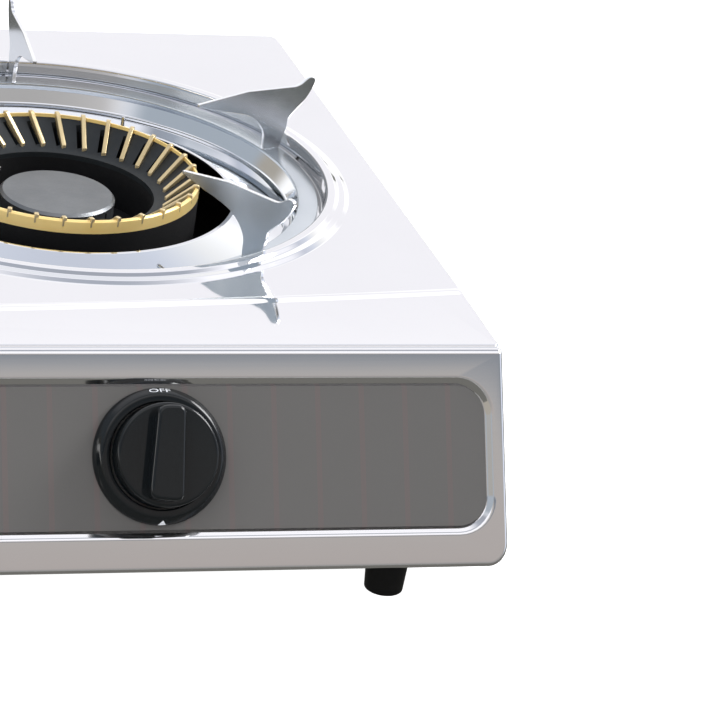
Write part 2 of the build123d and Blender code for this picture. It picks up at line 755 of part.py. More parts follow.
# Brass flame ring: a funnel with slanting ribs and a port beside each rib
def make_flame_ring(burner):
    rim_in = burner.ring - RIM_WIDTH
    floor_r = burner.throat + RIB_INSET
    floor_z = -FUNNEL_DEPTH
    sleeve_z = floor_z - SLEEVE_DEPTH
    swirl = math.radians(RIB_SWIRL)
    rib_run = (rim_in - floor_r) / math.cos(swirl)
    rib_plane = Plane(
        origin=(rim_in, 0, 0),
        x_dir=(-math.cos(swirl), -math.sin(swirl), 0),
        z_dir=(-math.sin(swirl), math.cos(swirl), 0),
    )
    with BuildPart() as rib:
        with BuildSketch(rib_plane):
            with BuildLine():
                Polyline(
                    (-RIM_WIDTH / 2, 0),
                    (0, 0),
                    (rib_run, floor_z + RIB_HEIGHT),
                    (rib_run, floor_z - RIM_WIDTH / 2),
                    (-RIM_WIDTH / 2, -RIB_HEIGHT - RIM_WIDTH),
                    close=True,
                )
            make_face()
        extrude(amount=RIB_WIDTH / 2, both=True)
    with BuildPart() as port:
        with BuildSketch(rib_plane.offset(RIB_WIDTH / 2)):
            with BuildLine():
                Polyline(
                    (PORT_INSET, 0),
                    (rib_run - PORT_INSET, 0),
                    (rib_run - PORT_INSET, 2 * floor_z),
                    (PORT_INSET, 2 * floor_z),
                    close=True,
                )
            make_face()
        extrude(amount=PORT_WIDTH)
    with BuildPart() as flame_ring:
        with BuildSketch(burner.section()):
            with BuildLine():
                Polyline(
                    (burner.ring, -RING_WALL),
                    (burner.ring, -RIM_WIDTH / 2),
                    (burner.ring - RIM_WIDTH / 2, 0),
                    (rim_in, 0),
                    (rim_in, -RIB_HEIGHT),
                    (floor_r, floor_z),
                    (burner.throat, floor_z - RIM_WIDTH / 2),
                    (burner.throat, sleeve_z),
                    (burner.throat + SLEEVE_WALL, sleeve_z),
                    (burner.throat + SLEEVE_WALL, floor_z - RING_SHEET),
                    (floor_r + RIM_WIDTH, floor_z - RING_SHEET),
                    (burner.ring - HEAD_WALL, -RING_WALL),
                    close=True,
                )
            make_face()
        revolve(axis=burner.axis)
        with Locations((burner.x, burner.y, top_z)):
            with PolarLocations(0, burner.ribs):
                add(rib.part)
                add(port.part, mode=Mode.SUBTRACT)
    save(flame_ring, f"flame_ring_{burner.name}")


# Centre cap of a large burner, with flame notches round its lower edge
def make_centre_cap(burner):
    seat_z = top_z - FUNNEL_DEPTH - CAP_SEAT_DROP
    with BuildPart() as centre_cap:
        with BuildSketch(Plane.XY.offset(seat_z)):
            with Locations((burner.x, burner.y)):
                Circle(CAP_RADIUS)
        extrude(amount=CAP_HEIGHT)
        chamfer(centre_cap.edges().group_by(Axis.Z)[-1], CAP_CHAMFER)
        with BuildSketch(Plane.XY.offset(seat_z)):
            with Locations((burner.x, burner.y)):
                with PolarLocations(CAP_RADIUS, CAP_NOTCHES):
                    Rectangle(2 * CAP_NOTCH_DEPTH, CAP_NOTCH_WIDTH)
        extrude(amount=CAP_HEIGHT - CAP_NOTCH_DEPTH, mode=Mode.SUBTRACT)
        with BuildSketch(Plane.XY.offset(seat_z)):
            with Locations((burner.x, burner.y)):
                Circle(CAP_RADIUS - CAP_SEAT - HEAD_WALL - SEAT_GAP)
        extrude(amount=-CAP_SPIGOT)
    save(centre_cap, f"centre_cap_{burner.name}")


# Cast burner head: a ring-shaped trough on a neck, with a boss for the mixing tube
def make_burner_head(burner):
    floor_low = -TROUGH_DEPTH
    floor_high = floor_low + TROUGH_FLOOR
    seat_z = -FUNNEL_DEPTH - CAP_SEAT_DROP
    foot_z = HEAD_FOOT_Z - top_z
    boss_plane = Plane(
        origin=(burner.x, burner.y, TUBE_AXIS_Z), x_dir=(1, 0, 0), z_dir=(0, -1, 0)
    )
    sleeve_z = -FUNNEL_DEPTH - SLEEVE_DEPTH
    with BuildPart() as burner_head:
        with BuildSketch(burner.section()):
            ring_rectangle(0, burner.ring, floor_low, floor_high)
            ring_rectangle(burner.ring - HEAD_WALL, burner.ring, floor_low, -RING_WALL)
            ring_rectangle(
                burner.throat, burner.throat + SLEEVE_WALL, floor_low, sleeve_z
            )
            ring_rectangle(0, NECK_RADIUS, foot_z, floor_low)
            if burner.big:
                pipe = CAP_RADIUS - CAP_SEAT
                ring_rectangle(pipe - HEAD_WALL, pipe, floor_low, seat_z)
        revolve(axis=burner.axis)
        with BuildSketch(boss_plane):
            Circle(NECK_BOSS_RADIUS)
        extrude(amount=NECK_BOSS_REACH)
        with BuildSketch(boss_plane):
            Circle(NECK_BORE)
        extrude(amount=NECK_BOSS_REACH, mode=Mode.SUBTRACT)
        with BuildSketch(Plane.XY.offset(TUBE_AXIS_Z)):
            with Locations((burner.x, burner.y)):
                Circle(NECK_BORE)
        extrude(amount=top_z + floor_high - TUBE_AXIS_Z, mode=Mode.SUBTRACT)

        # Lug at the side, which holds the spark electrode
        azimuth = math.radians(ELECTRODE_AZIMUTH)
        lug_plane = Plane(
            origin=(burner.x, burner.y, top_z - LUG_DROP),
            x_dir=(math.cos(azimuth), math.sin(azimuth), 0),
            z_dir=(0, 0, 1),
        )
        lug_start = burner.ring - HEAD_WALL / 2
        lug_end = burner.electrode + CERAMIC_COLLAR_RADIUS
        with BuildSketch(lug_plane):
            with Locations(((lug_start + lug_end) / 2, 0)):
                Rectangle(lug_end - lug_start, LUG_WIDTH)
            with Locations((burner.electrode, 0)):
                Circle(CERAMIC_RADIUS + SEAT_GAP, mode=Mode.SUBTRACT)
        extrude(amount=-LUG_THICKNESS)
    save(burner_head, f"burner_head_{burner.name}")


# Sheet bracket that carries a burner head on the base plate
def make_bracket(burner):
    half_top = BRACKET_TOP_WIDTH / 2
    foot_end = half_top + BRACKET_FOOT_WIDTH
    foot_z = base_top_z + BRACKET_SHEET
    path = [
        (foot_end, foot_z),
        (half_top, foot_z),
        (half_top, HEAD_FOOT_Z),
        (-half_top, HEAD_FOOT_Z),
        (-half_top, foot_z),
        (-foot_end, foot_z),
    ]
    bracket_plane = Plane(
        origin=(burner.x, burner.y, 0), x_dir=(1, 0, 0), z_dir=(0, -1, 0)
    )
    with BuildPart() as burner_bracket:
        with BuildSketch(bracket_plane):
            with BuildLine():
                Polyline(*sheet_band(path, BRACKET_SHEET), close=True)
            make_face()
        extrude(amount=BRACKET_DEPTH / 2, both=True)
    save(burner_bracket, f"burner_bracket_{burner.name}")


# Mixing tube: bell with air ports, throat and straight run, turned about a level line
def make_mixing_tube(burner):
    tube_end_y = burner.y - NECK_BOSS_REACH
    axis = Axis((burner.x, bell_y, TUBE_AXIS_Z), (0, 1, 0))
    bell_end = bell_y + BELL_LENGTH
    throat_y = bell_end + BELL_CONE
    cone_end = throat_y + THROAT_CONE
    outside = [
        (bell_y, BELL_RADIUS),
        (bell_end, BELL_RADIUS),
        (throat_y, THROAT_RADIUS),
        (cone_end, TUBE_RADIUS),
        (tube_end_y, TUBE_RADIUS),
    ]
    inside = [(y, radius - TUBE_WALL) for y, radius in reversed(outside[:-1])]
    inside[-1] = (bell_y + TUBE_WALL, BELL_RADIUS - TUBE_WALL)
    jet_hole = JET_HEX_RADIUS + JET_CLEARANCE
    outline = [
        *outside,
        (tube_end_y, TUBE_RADIUS - TUBE_WALL),
        *inside,
        (bell_y + TUBE_WALL, jet_hole),
        (bell_y, jet_hole),
    ]
    with BuildPart() as mixing_tube:
        with BuildSketch(Plane.YZ.offset(burner.x)):
            with BuildLine():
                Polyline(*[(y, TUBE_AXIS_Z + r) for y, r in outline], close=True)
            make_face()
        revolve(axis=axis)
        add(air_ports(burner, bell_y), mode=Mode.SUBTRACT)
    save(mixing_tube, f"mixing_tube_{burner.name}")

    with BuildPart() as air_shutter:
        sleeve_plane = Plane(
            origin=(burner.x, bell_y + SHUTTER_SET_BACK, TUBE_AXIS_Z),
            x_dir=(1, 0, 0),
            z_dir=(0, 1, 0),
        )
        with BuildSketch(sleeve_plane):
            Circle(BELL_RADIUS + RUNNING + SHUTTER_WALL)
            Circle(BELL_RADIUS + RUNNING, mode=Mode.SUBTRACT)
        extrude(amount=SHUTTER_LENGTH)
        add(air_ports(burner, bell_y), mode=Mode.SUBTRACT)
    save(air_shutter, f"air_shutter_{burner.name}")


# Air ports through both sides of a bell or of the sleeve round it
def air_ports(burner, start_y):
    port_y = start_y + AIR_PORT_START + AIR_PORT_LENGTH / 2
    with BuildPart(mode=Mode.PRIVATE) as ports:
        with BuildSketch(Plane.YZ.offset(burner.x)):
            with Locations((port_y, TUBE_AXIS_Z)):
                Rectangle(AIR_PORT_LENGTH, AIR_PORT_HEIGHT)
        extrude(amount=2 * BELL_RADIUS, both=True)
    return ports.part


# Injectors: a hexagon on the tap, and a jet that points into the bell
def make_injectors():
    with BuildPart() as injectors:
        for burner in BURNERS:
            jet_plane = Plane(
                origin=(burner.x, jet_start_y, TUBE_AXIS_Z), x_dir=(1, 0, 0), z_dir=(0, 1, 0)
            )
            with BuildSketch(jet_plane):
                RegularPolygon(JET_HEX_RADIUS, HEX_SIDES)
            extrude(amount=JET_HEX_LENGTH)
            with BuildSketch(jet_plane.offset(JET_HEX_LENGTH)):
                Circle(JET_RADIUS)
            extrude(amount=JET_LENGTH - JET_HEX_LENGTH)
            with BuildSketch(jet_plane):
                Circle(JET_BORE)
            extrude(amount=JET_LENGTH, mode=Mode.SUBTRACT)
    save(injectors, "injectors")


# Spark electrodes, their pins, and the leads that run to the taps
def make_ignition():
    with BuildPart() as spark_pins:
        with BuildSketch(Plane.XY.offset(top_z - CERAMIC_TOP)):
            for burner in BURNERS:
                with Locations((burner.electrode_x, burner.electrode_y)):
                    Circle(PIN_RADIUS)
        extrude(amount=PIN_LENGTH)
    save(spark_pins, "spark_pins")

    with BuildPart() as ignition_leads:
        for burner in BURNERS:
            start_x = burner.knob_x + LEAD_SIDE
            end_x, end_y = burner.electrode_x, burner.electrode_y
            block_top = TUBE_AXIS_Z + OUTLET_HEIGHT / 2
            route = [
                (start_x, jet_start_y - LEAD_SIDE, block_top),
                (start_x, jet_start_y - LEAD_SIDE, block_top + LEAD_RISE),
                (start_x + LEAD_STEP_X, jet_start_y + LEAD_STEP_Y, block_top + LEAD_DIP),
                (end_x + LEAD_SIDE / 2, burner.y - LEAD_STEP_Y / 2, block_top - LEAD_DIP / 2),
                (end_x, end_y - LEAD_STEP_Y / 2, TUBE_AXIS_Z - LEAD_DIP),
                (end_x, end_y, TUBE_AXIS_Z - LEAD_DIP),
                (end_x, end_y, top_z - CERAMIC_LOW),
            ]
            with BuildLine() as lead_line:
                FilletPolyline(*route, radius=LEAD_BEND)
            start_plane = Plane(
                origin=lead_line.line @ 0, z_dir=lead_line.line % 0
            )
            with BuildSketch(start_plane):
                Circle(LEAD_RADIUS)
            sweep(path=lead_line.line)
    save(ignition_leads, "ignition_leads")


# Ceramic rod of a spark electrode, with a collar that rests on the lug of the head
def make_electrode(burner):
    with BuildPart() as spark_electrode:
        with BuildSketch(Plane.XY.offset(top_z - CERAMIC_LOW)):
            with Locations((burner.electrode_x, burner.electrode_y)):
                Circle(CERAMIC_RADIUS)
        extrude(amount=CERAMIC_LOW - CERAMIC_TOP)
        with BuildSketch(Plane.XY.offset(top_z - LUG_DROP)):
            with Locations((burner.electrode_x, burner.electrode_y)):
                Circle(CERAMIC_COLLAR_RADIUS)
        extrude(amount=CERAMIC_COLLAR_HEIGHT)
    save(spark_electrode, f"spark_electrode_{burner.name}")


# Gas tap behind the panel, with its turning plug and its sliding stem
def make_tap(burner):
    spot = (burner.knob_x, -KNOB_DOWN)
    with BuildPart() as tap_body:
        with BuildSketch(panel_plane.offset(-recess_back)):
            with Locations(spot):
                Circle(TAP_RADIUS)
        extrude(amount=-TAP_LENGTH)
        with BuildSketch(Plane.XY.offset(TUBE_AXIS_Z - OUTLET_HEIGHT / 2)):
            with Locations((burner.knob_x, jet_start_y - OUTLET_DEPTH / 2)):
                Rectangle(OUTLET_WIDTH, OUTLET_DEPTH)
        extrude(amount=OUTLET_HEIGHT)
        with BuildSketch(Plane.XY.offset(SPIGOT_TOP_Z)):
            with Locations((burner.knob_x, tap_leg_y)):
                Circle(TAP_LEG_RADIUS)
        extrude(amount=TUBE_AXIS_Z - OUTLET_HEIGHT / 2 + SEAT_GAP - SPIGOT_TOP_Z)
        with BuildSketch(panel_plane.offset(-recess_back)):
            with Locations(spot):
                Circle(STEM_RADIUS + RUNNING)
        extrude(amount=-PLUG_START, mode=Mode.SUBTRACT)
        with BuildSketch(panel_plane.offset(PLUG_END_PLAY - PLUG_START)):
            with Locations(spot):
                Circle(PLUG_RADIUS + RUNNING)
        extrude(amount=-PLUG_LENGTH - 2 * PLUG_END_PLAY, mode=Mode.SUBTRACT)
    save(tap_body, f"tap_body_{burner.name}")

    with BuildPart() as tap_plug:
        with BuildSketch(panel_plane.offset(-PLUG_START)):
            with Locations(spot):
                Circle(PLUG_RADIUS)
                d_profile(RUNNING, mode=Mode.SUBTRACT)
        extrude(amount=-PLUG_LENGTH)
    save(tap_plug, f"tap_plug_{burner.name}")

    with BuildPart() as valve_stem:
        with BuildSketch(panel_plane.offset(-PLUG_START - STEM_INTO_PLUG)):
            with Locations(spot):
                d_profile(0)
        extrude(amount=PLUG_START + STEM_INTO_PLUG + KNOB_BACK + STEM_INTO_KNOB)
    save(valve_stem, f"valve_stem_{burner.name}")


# Knob: a drum with a raised grip, in the bore of its bezel
def make_knob(burner):
    spot = (burner.knob_x, -KNOB_DOWN)
    with BuildPart() as knob_bezel:
        with BuildSketch(panel_plane.offset(fascia_front)):
            with Locations(spot):
                Circle(BEZEL_RADIUS)
        extrude(amount=BEZEL_SKIRT)
        with BuildSketch(panel_plane.offset(fascia_front + BEZEL_SKIRT)):
            with Locations(spot):
                Circle(BEZEL_RADIUS)
        with BuildSketch(panel_plane.offset(fascia_front + BEZEL_HEIGHT)):
            with Locations(spot):
                Circle(BEZEL_TOP_RADIUS)
        loft()
        with BuildSketch(panel_plane.offset(fascia_front)):
            with Locations(spot):
                Circle(KNOB_RADIUS + KNOB_PLAY)
        extrude(amount=BEZEL_HEIGHT, mode=Mode.SUBTRACT)
    save(knob_bezel, f"knob_bezel_{burner.name}")

    with BuildPart() as knob:
        add(knob_drum().moved(panel_plane.location * Location((*spot, KNOB_BACK))))
    save(knob, f"knob_{burner.name}")


# Knob drum with its grip, made on the ground plane so that every knob is the same
def knob_drum():
    with BuildPart(mode=Mode.PRIVATE) as drum:
        with BuildSketch(Plane.XY):
            Circle(KNOB_RADIUS)
        extrude(amount=KNOB_HEIGHT)
        fillet(drum.faces().sort_by(Axis.Z)[-1].edges(), KNOB_EDGE)
        with BuildSketch(Plane.XY.offset(KNOB_HEIGHT)):
            Circle(KNOB_RADIUS - KNOB_EDGE)
            Rectangle(GRIP_WIDTH, 2 * KNOB_RADIUS, mode=Mode.INTERSECT)
        extrude(amount=GRIP_HEIGHT)
        fillet(drum.faces().sort_by(Axis.Z)[-1].edges(), GRIP_EDGE)
        with BuildSketch(Plane.XY):
            d_profile(RUNNING)
        extrude(amount=STEM_INTO_KNOB + SEAT_GAP, mode=Mode.SUBTRACT)
    return drum.part


# Manifold under the taps, the supply pipe and the inlet nozzle in the back
def make_gas_line():
    pipe_start_x = SUPPLY_X + ELBOW_SIZE / 2
    pipe_end_x = KNOB_X + MANIFOLD_OVERRUN
    with BuildPart() as manifold:
        with BuildSketch(Plane.YZ.offset(pipe_start_x)):
            with Locations((tap_leg_y, PIPE_Z)):
                Circle(PIPE_RADIUS)
        extrude(amount=pipe_end_x - pipe_start_x)
        with BuildSketch(Plane.XY.offset(PIPE_Z)):
            for burner in BURNERS:
                with Locations((burner.knob_x, tap_leg_y)):
                    Circle(SPIGOT_RADIUS)
        extrude(amount=SPIGOT_TOP_Z - PIPE_Z)
        with BuildSketch(Plane.YZ.offset(pipe_start_x)):
            with Locations((tap_leg_y, PIPE_Z)):
                Circle(PIPE_RADIUS - PIPE_WALL)
        extrude(amount=pipe_end_x - pipe_start_x - PIPE_WALL, mode=Mode.SUBTRACT)
        with BuildSketch(Plane.XY.offset(PIPE_Z)):
            for burner in BURNERS:
                with Locations((burner.knob_x, tap_leg_y)):
                    Circle(SPIGOT_RADIUS - PIPE_WALL)
        extrude(amount=SPIGOT_TOP_Z - PIPE_Z, mode=Mode.SUBTRACT)
    save(manifold, "manifold")

    elbow_plane = Plane(
        origin=(SUPPLY_X, tap_leg_y, PIPE_Z), x_dir=(1, 0, 0), z_dir=(0, 1, 0)
    )
    collar_y = rear_y - SHEET
    pipe_end_y = collar_y - NOZZLE_COLLAR_LENGTH
    with BuildPart() as supply_pipe:
        with BuildSketch(elbow_plane):
            Rectangle(ELBOW_SIZE, ELBOW_SIZE)
        extrude(amount=ELBOW_SIZE / 2, both=True)
        with BuildSketch(elbow_plane):
            Circle(PIPE_RADIUS)
        extrude(amount=pipe_end_y - tap_leg_y)
        with BuildSketch(elbow_plane):
            Circle(PIPE_RADIUS - PIPE_WALL)
        extrude(amount=pipe_end_y - tap_leg_y, mode=Mode.SUBTRACT)
        with BuildSketch(Plane.YZ.offset(SUPPLY_X)):
            with Locations((tap_leg_y, PIPE_Z)):
                Circle(PIPE_RADIUS - PIPE_WALL)
        extrude(amount=ELBOW_SIZE, mode=Mode.SUBTRACT)
    save(supply_pipe, "supply_pipe")

    nozzle_plane = Plane(
        origin=(SUPPLY_X, pipe_end_y, PIPE_Z), x_dir=(1, 0, 0), z_dir=(0, 1, 0)
    )
    shank_end = NOZZLE_COLLAR_LENGTH + SHEET + NOZZLE_SHANK_PROUD
    with BuildPart() as inlet_nozzle:
        with BuildSketch(nozzle_plane):
            RegularPolygon(NOZZLE_COLLAR_RADIUS, HEX_SIDES)
        extrude(amount=NOZZLE_COLLAR_LENGTH)
        with BuildSketch(nozzle_plane):
            Circle(NOZZLE_SHANK_RADIUS)
        extrude(amount=shank_end)
        with BuildSketch(nozzle_plane):
            Circle(NOZZLE_RADIUS)
        extrude(amount=shank_end + NOZZLE_LENGTH)
        with BuildSketch(nozzle_plane):
            Circle(NOZZLE_BORE)
        extrude(amount=shank_end + NOZZLE_LENGTH, mode=Mode.SUBTRACT)
    save(inlet_nozzle, "inlet_nozzle")


make_body_shell()
make_top_plate()
make_fascia()
make_base_plate()
make_feet()
make_base_screws()
make_injectors()
make_ignition()
make_gas_line()
for burner in BURNERS:
    make_drip_pan(burner)
    make_trivet(burner)
    make_flame_ring(burner)
    make_burner_head(burner)
    make_bracket(burner)
    make_mixing_tube(burner)
    make_electrode(burner)
    make_tap(burner)
    make_knob(burner)
    if burner.big:
        make_centre_cap(burner)
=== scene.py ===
import math

import bmesh
import bpy
from mathutils import Matrix, Vector


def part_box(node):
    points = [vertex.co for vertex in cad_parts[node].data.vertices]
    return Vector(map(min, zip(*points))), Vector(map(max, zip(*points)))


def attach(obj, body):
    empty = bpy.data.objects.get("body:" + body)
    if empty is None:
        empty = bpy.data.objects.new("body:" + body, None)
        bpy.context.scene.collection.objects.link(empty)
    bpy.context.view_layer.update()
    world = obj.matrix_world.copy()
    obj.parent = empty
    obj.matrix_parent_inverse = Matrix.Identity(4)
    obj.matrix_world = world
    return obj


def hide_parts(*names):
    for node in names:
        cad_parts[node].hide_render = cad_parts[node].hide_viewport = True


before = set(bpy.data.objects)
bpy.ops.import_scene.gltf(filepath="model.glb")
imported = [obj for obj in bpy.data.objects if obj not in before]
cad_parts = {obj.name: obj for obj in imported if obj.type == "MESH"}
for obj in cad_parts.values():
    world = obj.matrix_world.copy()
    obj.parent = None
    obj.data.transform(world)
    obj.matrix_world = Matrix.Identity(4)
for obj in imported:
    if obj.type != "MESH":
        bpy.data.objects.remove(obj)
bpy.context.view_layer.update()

# Sizes are in metres, in the row frame: X runs across, the knobs face -Y, Z is up
MM = 0.001
SHEET = 0.8 * MM
EDGE_ROUND = 0.35 * MM
WELD = 0.004 * MM
ROW_WELD = 0.02 * MM
RING_WELD = 0.01 * MM
TOUCHING = 0.05 * MM
NEAR = 0.1 * MM
SQUARE = 0.99
ROUND_STEPS = 192
KNOB_STEPS = 128
FOOT_STEPS = 64

# Camera and floor
CAMERA_PLACE = (-0.20604, -1.52504, 0.74357)
CAMERA_TURNS = (20.032, 24.176, -8.419)
CAMERA_LENS = 201.19
FLOOR_LIFT = 1.0
FLOOR_SIZE = 14
FLOOR_BACK = 3
FLOOR_WHITE = 0.86

# Case, top plate and front panel
PANEL_LEAN = math.radians(30.2)
PANEL_SLANT = 88.4 * MM
PANEL_BEND = 2.0 * MM
PANEL_FACE = 3.1 * MM
NOSE_FACE = 2.2 * MM
NOSE_WIDTH = 2.5 * MM
SIDE_BEND = 8.5 * MM
REAR_BEND = 4.5 * MM
FLANGE_WIDTH = 24.0 * MM
BOTTOM_AREA = 0.05
SEAM_GAP = 1.2 * MM
SEAM_TUCK = 0.1 * MM
SEAM_SINK = 0.25 * MM
RIM_DEPTH = 8.0 * MM
STRIP_DROP = 1.0 * MM
RIDGE_AT_SIDE = 51.5 * MM
RIDGE_AT_MIDDLE = 30.5 * MM
RIDGE_STEPS = 48
RIDGE_END = 1.2 * MM
ROW_LOW = 0.3 * MM
ON_ROW = 0.03 * MM
FIELD_MARGIN = 0.2 * MM
RIDGE_BEAD = [
    (3.4 * MM, 0), (2.4 * MM, 0.05 * MM), (1.2 * MM, 0.18 * MM), (0, 0.25 * MM),
    (-1.2 * MM, 0.18 * MM), (-2.4 * MM, 0.05 * MM), (-3.4 * MM, 0),
]
PLATE_CORNER = 2.5 * MM
PLATE_EDGE = 1.4 * MM
RECESS_TOP = 11.5 * MM
RECESS_HEIGHT = 62.4 * MM
RECESS_SIDE = 5.4 * MM
RECESS_CORNER = 15.0 * MM
RECESS_DEPTH = 2.2 * MM
RECESS_RUN = RECESS_DEPTH * math.tan(math.radians(52.0))
RECESS_LIP = 0.9 * MM
FASCIA_THICKNESS = 1.0 * MM
LINE_PITCH = 18.2 * MM
LINE_START = 100.31
LINE_HALF_WIDTH = 0.06
LINE_STRENGTH = 0.45

# Embossed ring of each well, the drip pan and the trivet
EMBOSS_WIDTH = 10.3 * MM
EMBOSS_HEIGHT = 3.0 * MM
CREST_WIDTH = 3.8 * MM
CREST_ROUND = 1.2 * MM
STEP_RUN = 2.1 * MM
STEP_WIDTH = 2.5 * MM
STEP_HEIGHT = 1.3 * MM
STEP_RISE = 0.4 * MM
WELL_DEPTH = 5.8 * MM
WELL_LEDGE = 7.4 * MM
PAN_GAP = 2.3 * MM
PAN_RIM = 6.0 * MM
PAN_WALL_RUN = 5.0 * MM
PAN_DEPTH = 7.5 * MM
PAN_GUTTER = 3.0 * MM
PAN_LIP_RISE = 5.0 * MM
PAN_LIP = 1.6 * MM
PAN_BEND = 1.6 * MM
TRIVET_PLAY = 0.4 * MM
TRIVET_RING_WIDTH = 8.7 * MM
TRIVET_RING_THICKNESS = 1.5 * MM
FINS = 5
FIRST_FIN = math.radians(-55.0)
FIN_THICKNESS = 1.8 * MM
FIN_TOP = 25.3 * MM
FIN_TIP_TOP = 21.5 * MM
FIN_TIP_LOW = 20.2 * MM
FIN_ELBOW_SHARE = 0.46
FIN_ELBOW_Z = 17 * MM
FIN_HEEL_RUN = 8.7 * MM
FIN_HEEL_Z = 13 * MM
FIN_INSTEP = 1 * MM
FIN_WAIST_Z = 5.5 * MM
FIN_SHOULDER = 5 * MM
FIN_DIP_REACH = 3 * MM
FIN_DIP_Z = 26.3 * MM
FIN_STEPS = 6
# The fin's outer edge, as (distance outside the ring, height)
FIN_BACK = [
    (2.6 * MM, FIN_WAIST_Z), (3.6 * MM, 11 * MM), (11 * MM, 19 * MM), (15 * MM, 27 * MM),
    (12 * MM, 29 * MM),
]

# Brass flame ring
RING_WALL = 5.8 * MM
FUNNEL_DEPTH = 10.6 * MM
RIM_WIDTH = 1.4 * MM
SLEEVE_WALL = 2.6 * MM
SLEEVE_DEPTH = 3.0 * MM
RING_SHEET = 2.4 * MM
HEAD_WALL = 3.0 * MM
RIB_INSET = 4.5 * MM
RIB_WIDTH = 1.9 * MM
RIB_HEIGHT = 1.5 * MM
RIB_PROUD = 1.1 * MM
RIB_CREST = 0.8 * MM
RIB_STEP = 1.6 * MM
RIB_STEP_Z = 0.2 * MM
RIB_EDGE = 0.2 * MM
PORT_WIDTH = 2.0 * MM
PORT_INSET = 1.6 * MM
RIB_SWIRL = math.radians(16.0)

# Knob, bezel and foot
KNOB_DOWN = 42.1 * MM
KNOB_X = 210.8 * MM
KNOB_RADIUS = 20.5 * MM
KNOB_BACK = 3.0 * MM
KNOB_HEIGHT = 10.4 * MM
KNOB_EDGE = 1.6 * MM
KNOB_PLAY = 0.5 * MM
GRIP_WIDTH = 11.0 * MM
GRIP_HEIGHT = 8.0 * MM
GRIP_EDGE = 1.5 * MM
GRIP_ROUND = 0.42 * GRIP_WIDTH
GRIP_FLARE = 4.6 * MM
GRIP_LEAN = 1.6 * MM
BEZEL_RADIUS = 27.0 * MM
BEZEL_TOP_RADIUS = 24.4 * MM
BEZEL_HEIGHT = 5.0 * MM
BEZEL_SKIRT = 1.6 * MM
BEZEL_ROUND = 2.5 * MM
BEZEL_LIP = 0.6 * MM
WORD_SIZE = 3.3 * MM
WORD_STRETCH = 1.55
MARK_SIZE = 1.9 * MM
MARK_CUTS = 6
PRINT_THICKNESS = 0.05 * MM
FOOT_TOP_RADIUS = 8.8 * MM
FOOT_LOW_RADIUS = 7.8 * MM
FOOT_BORE_RADIUS = 4.1 * MM
FOOT_BORE_DEPTH = 9.0 * MM
FOOT_EDGE = 0.9 * MM
FOOT_FROM_SIDE = 47.0 * MM
FOOT_FROM_EDGE = 14.5 * MM
BURNER_X = 212.8 * MM
BURNER_FROM_REAR = 163.8 * MM
SMALL_BURNER_SHIFT = 20.0 * MM

# The surroundings, as (degrees over the top from the back horizon to the front one, colour)
SKY_ARC = [
    (0, (1.0, 1.0, 1.0)), (13, (1.3, 1.3, 1.3)), (19, (0.97, 0.965, 1.0)),
    (27, (0.96, 0.95, 0.99)), (33, (1.3, 1.3, 1.3)), (41, (1.0, 1.0, 1.0)),
    (47, (0.72, 0.76, 0.86)), (52, (0.62, 0.65, 0.74)), (58, (1.0, 1.0, 1.05)),
    (80, (1.1, 1.1, 1.15)), (87, (0.42, 0.45, 0.52)), (96, (0.36, 0.38, 0.43)),
    (102, (1.1, 1.1, 1.15)), (122, (1.1, 1.1, 1.15)), (128, (0.58, 0.56, 0.55)),
    (137, (0.40, 0.39, 0.38)), (141, (0.20, 0.22, 0.26)), (144.7, (0.23, 0.26, 0.30)),
    (145.3, (0.38, 0.40, 0.44)), (145.7, (0.50, 0.48, 0.46)), (148.0, (0.47, 0.43, 0.415)),
    (156, (0.40, 0.38, 0.37)), (180, (0.30, 0.30, 0.30)),
]
SKY_STOPS = [(degrees / 180, colour) for degrees, colour in SKY_ARC]
SKY_RIGHT = (0.82, 0.88, 1.0, 1.0)
SKY_LEFT_LOW = (0.44, 0.41, 0.36, 1.0)
SKY_LEFT_HIGH = (0.42, 0.47, 0.53, 1.0)
WINDOW_LIGHT = 14.0
STRIP_LIGHT = 4.0
# Where each of them starts and ends, as (nothing yet, fully there) along its direction
RIGHT_EDGE = (0.72, 0.90)
LEFT_EDGE = (0.45, 0.65)
LEFT_RISE = (0.33, 0.40)
STRIP_LOW = (0.13, 0.16)
STRIP_HIGH = (0.24, 0.27)
STRIP_SIDE = (0.86, 0.90)
WINDOW_LEFT = (0.64, 0.68)
WINDOW_RIGHT = (0.86, 0.90)
WINDOW_BACK = (0.36, 0.38)
WINDOW_FRONT = (0.60, 0.62)
MIRRORED_FLOOR = (0.170, 0.168, 0.155, 1.0)

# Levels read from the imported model
case_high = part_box("body_shell")[1]
half_width = case_high.x
panel_low_y = -case_high.y
rear_y = case_high.y
base_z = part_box("feet")[1].z
panel_top_y = panel_low_y + PANEL_SLANT * math.sin(PANEL_LEAN)
panel_top_z = base_z + PANEL_SLANT * math.cos(PANEL_LEAN)
top_z = panel_top_z + STRIP_DROP
rim_low_z = top_z - RIM_DEPTH
seam_y = panel_top_y + NOSE_WIDTH
plate_front_y = seam_y + SEAM_GAP
fascia_front = FASCIA_THICKNESS - RECESS_DEPTH
pan_rim_z = SHEET - WELL_DEPTH


class Burner:
    """The sizes of one burner, large or small."""

    def __init__(self, name, x, well, hole, ring, throat, tip, ribs, shift):
        self.name = name
        self.centre = Vector((x, rear_y - BURNER_FROM_REAR + shift, top_z))
        self.well = well * MM
        self.hole = hole * MM
        self.ring = ring * MM
        self.throat = throat * MM
        self.tip = tip * MM
        self.ribs = ribs
        self.pan = self.well - PAN_GAP
        self.knob_x = math.copysign(KNOB_X, x) if x else 0.0


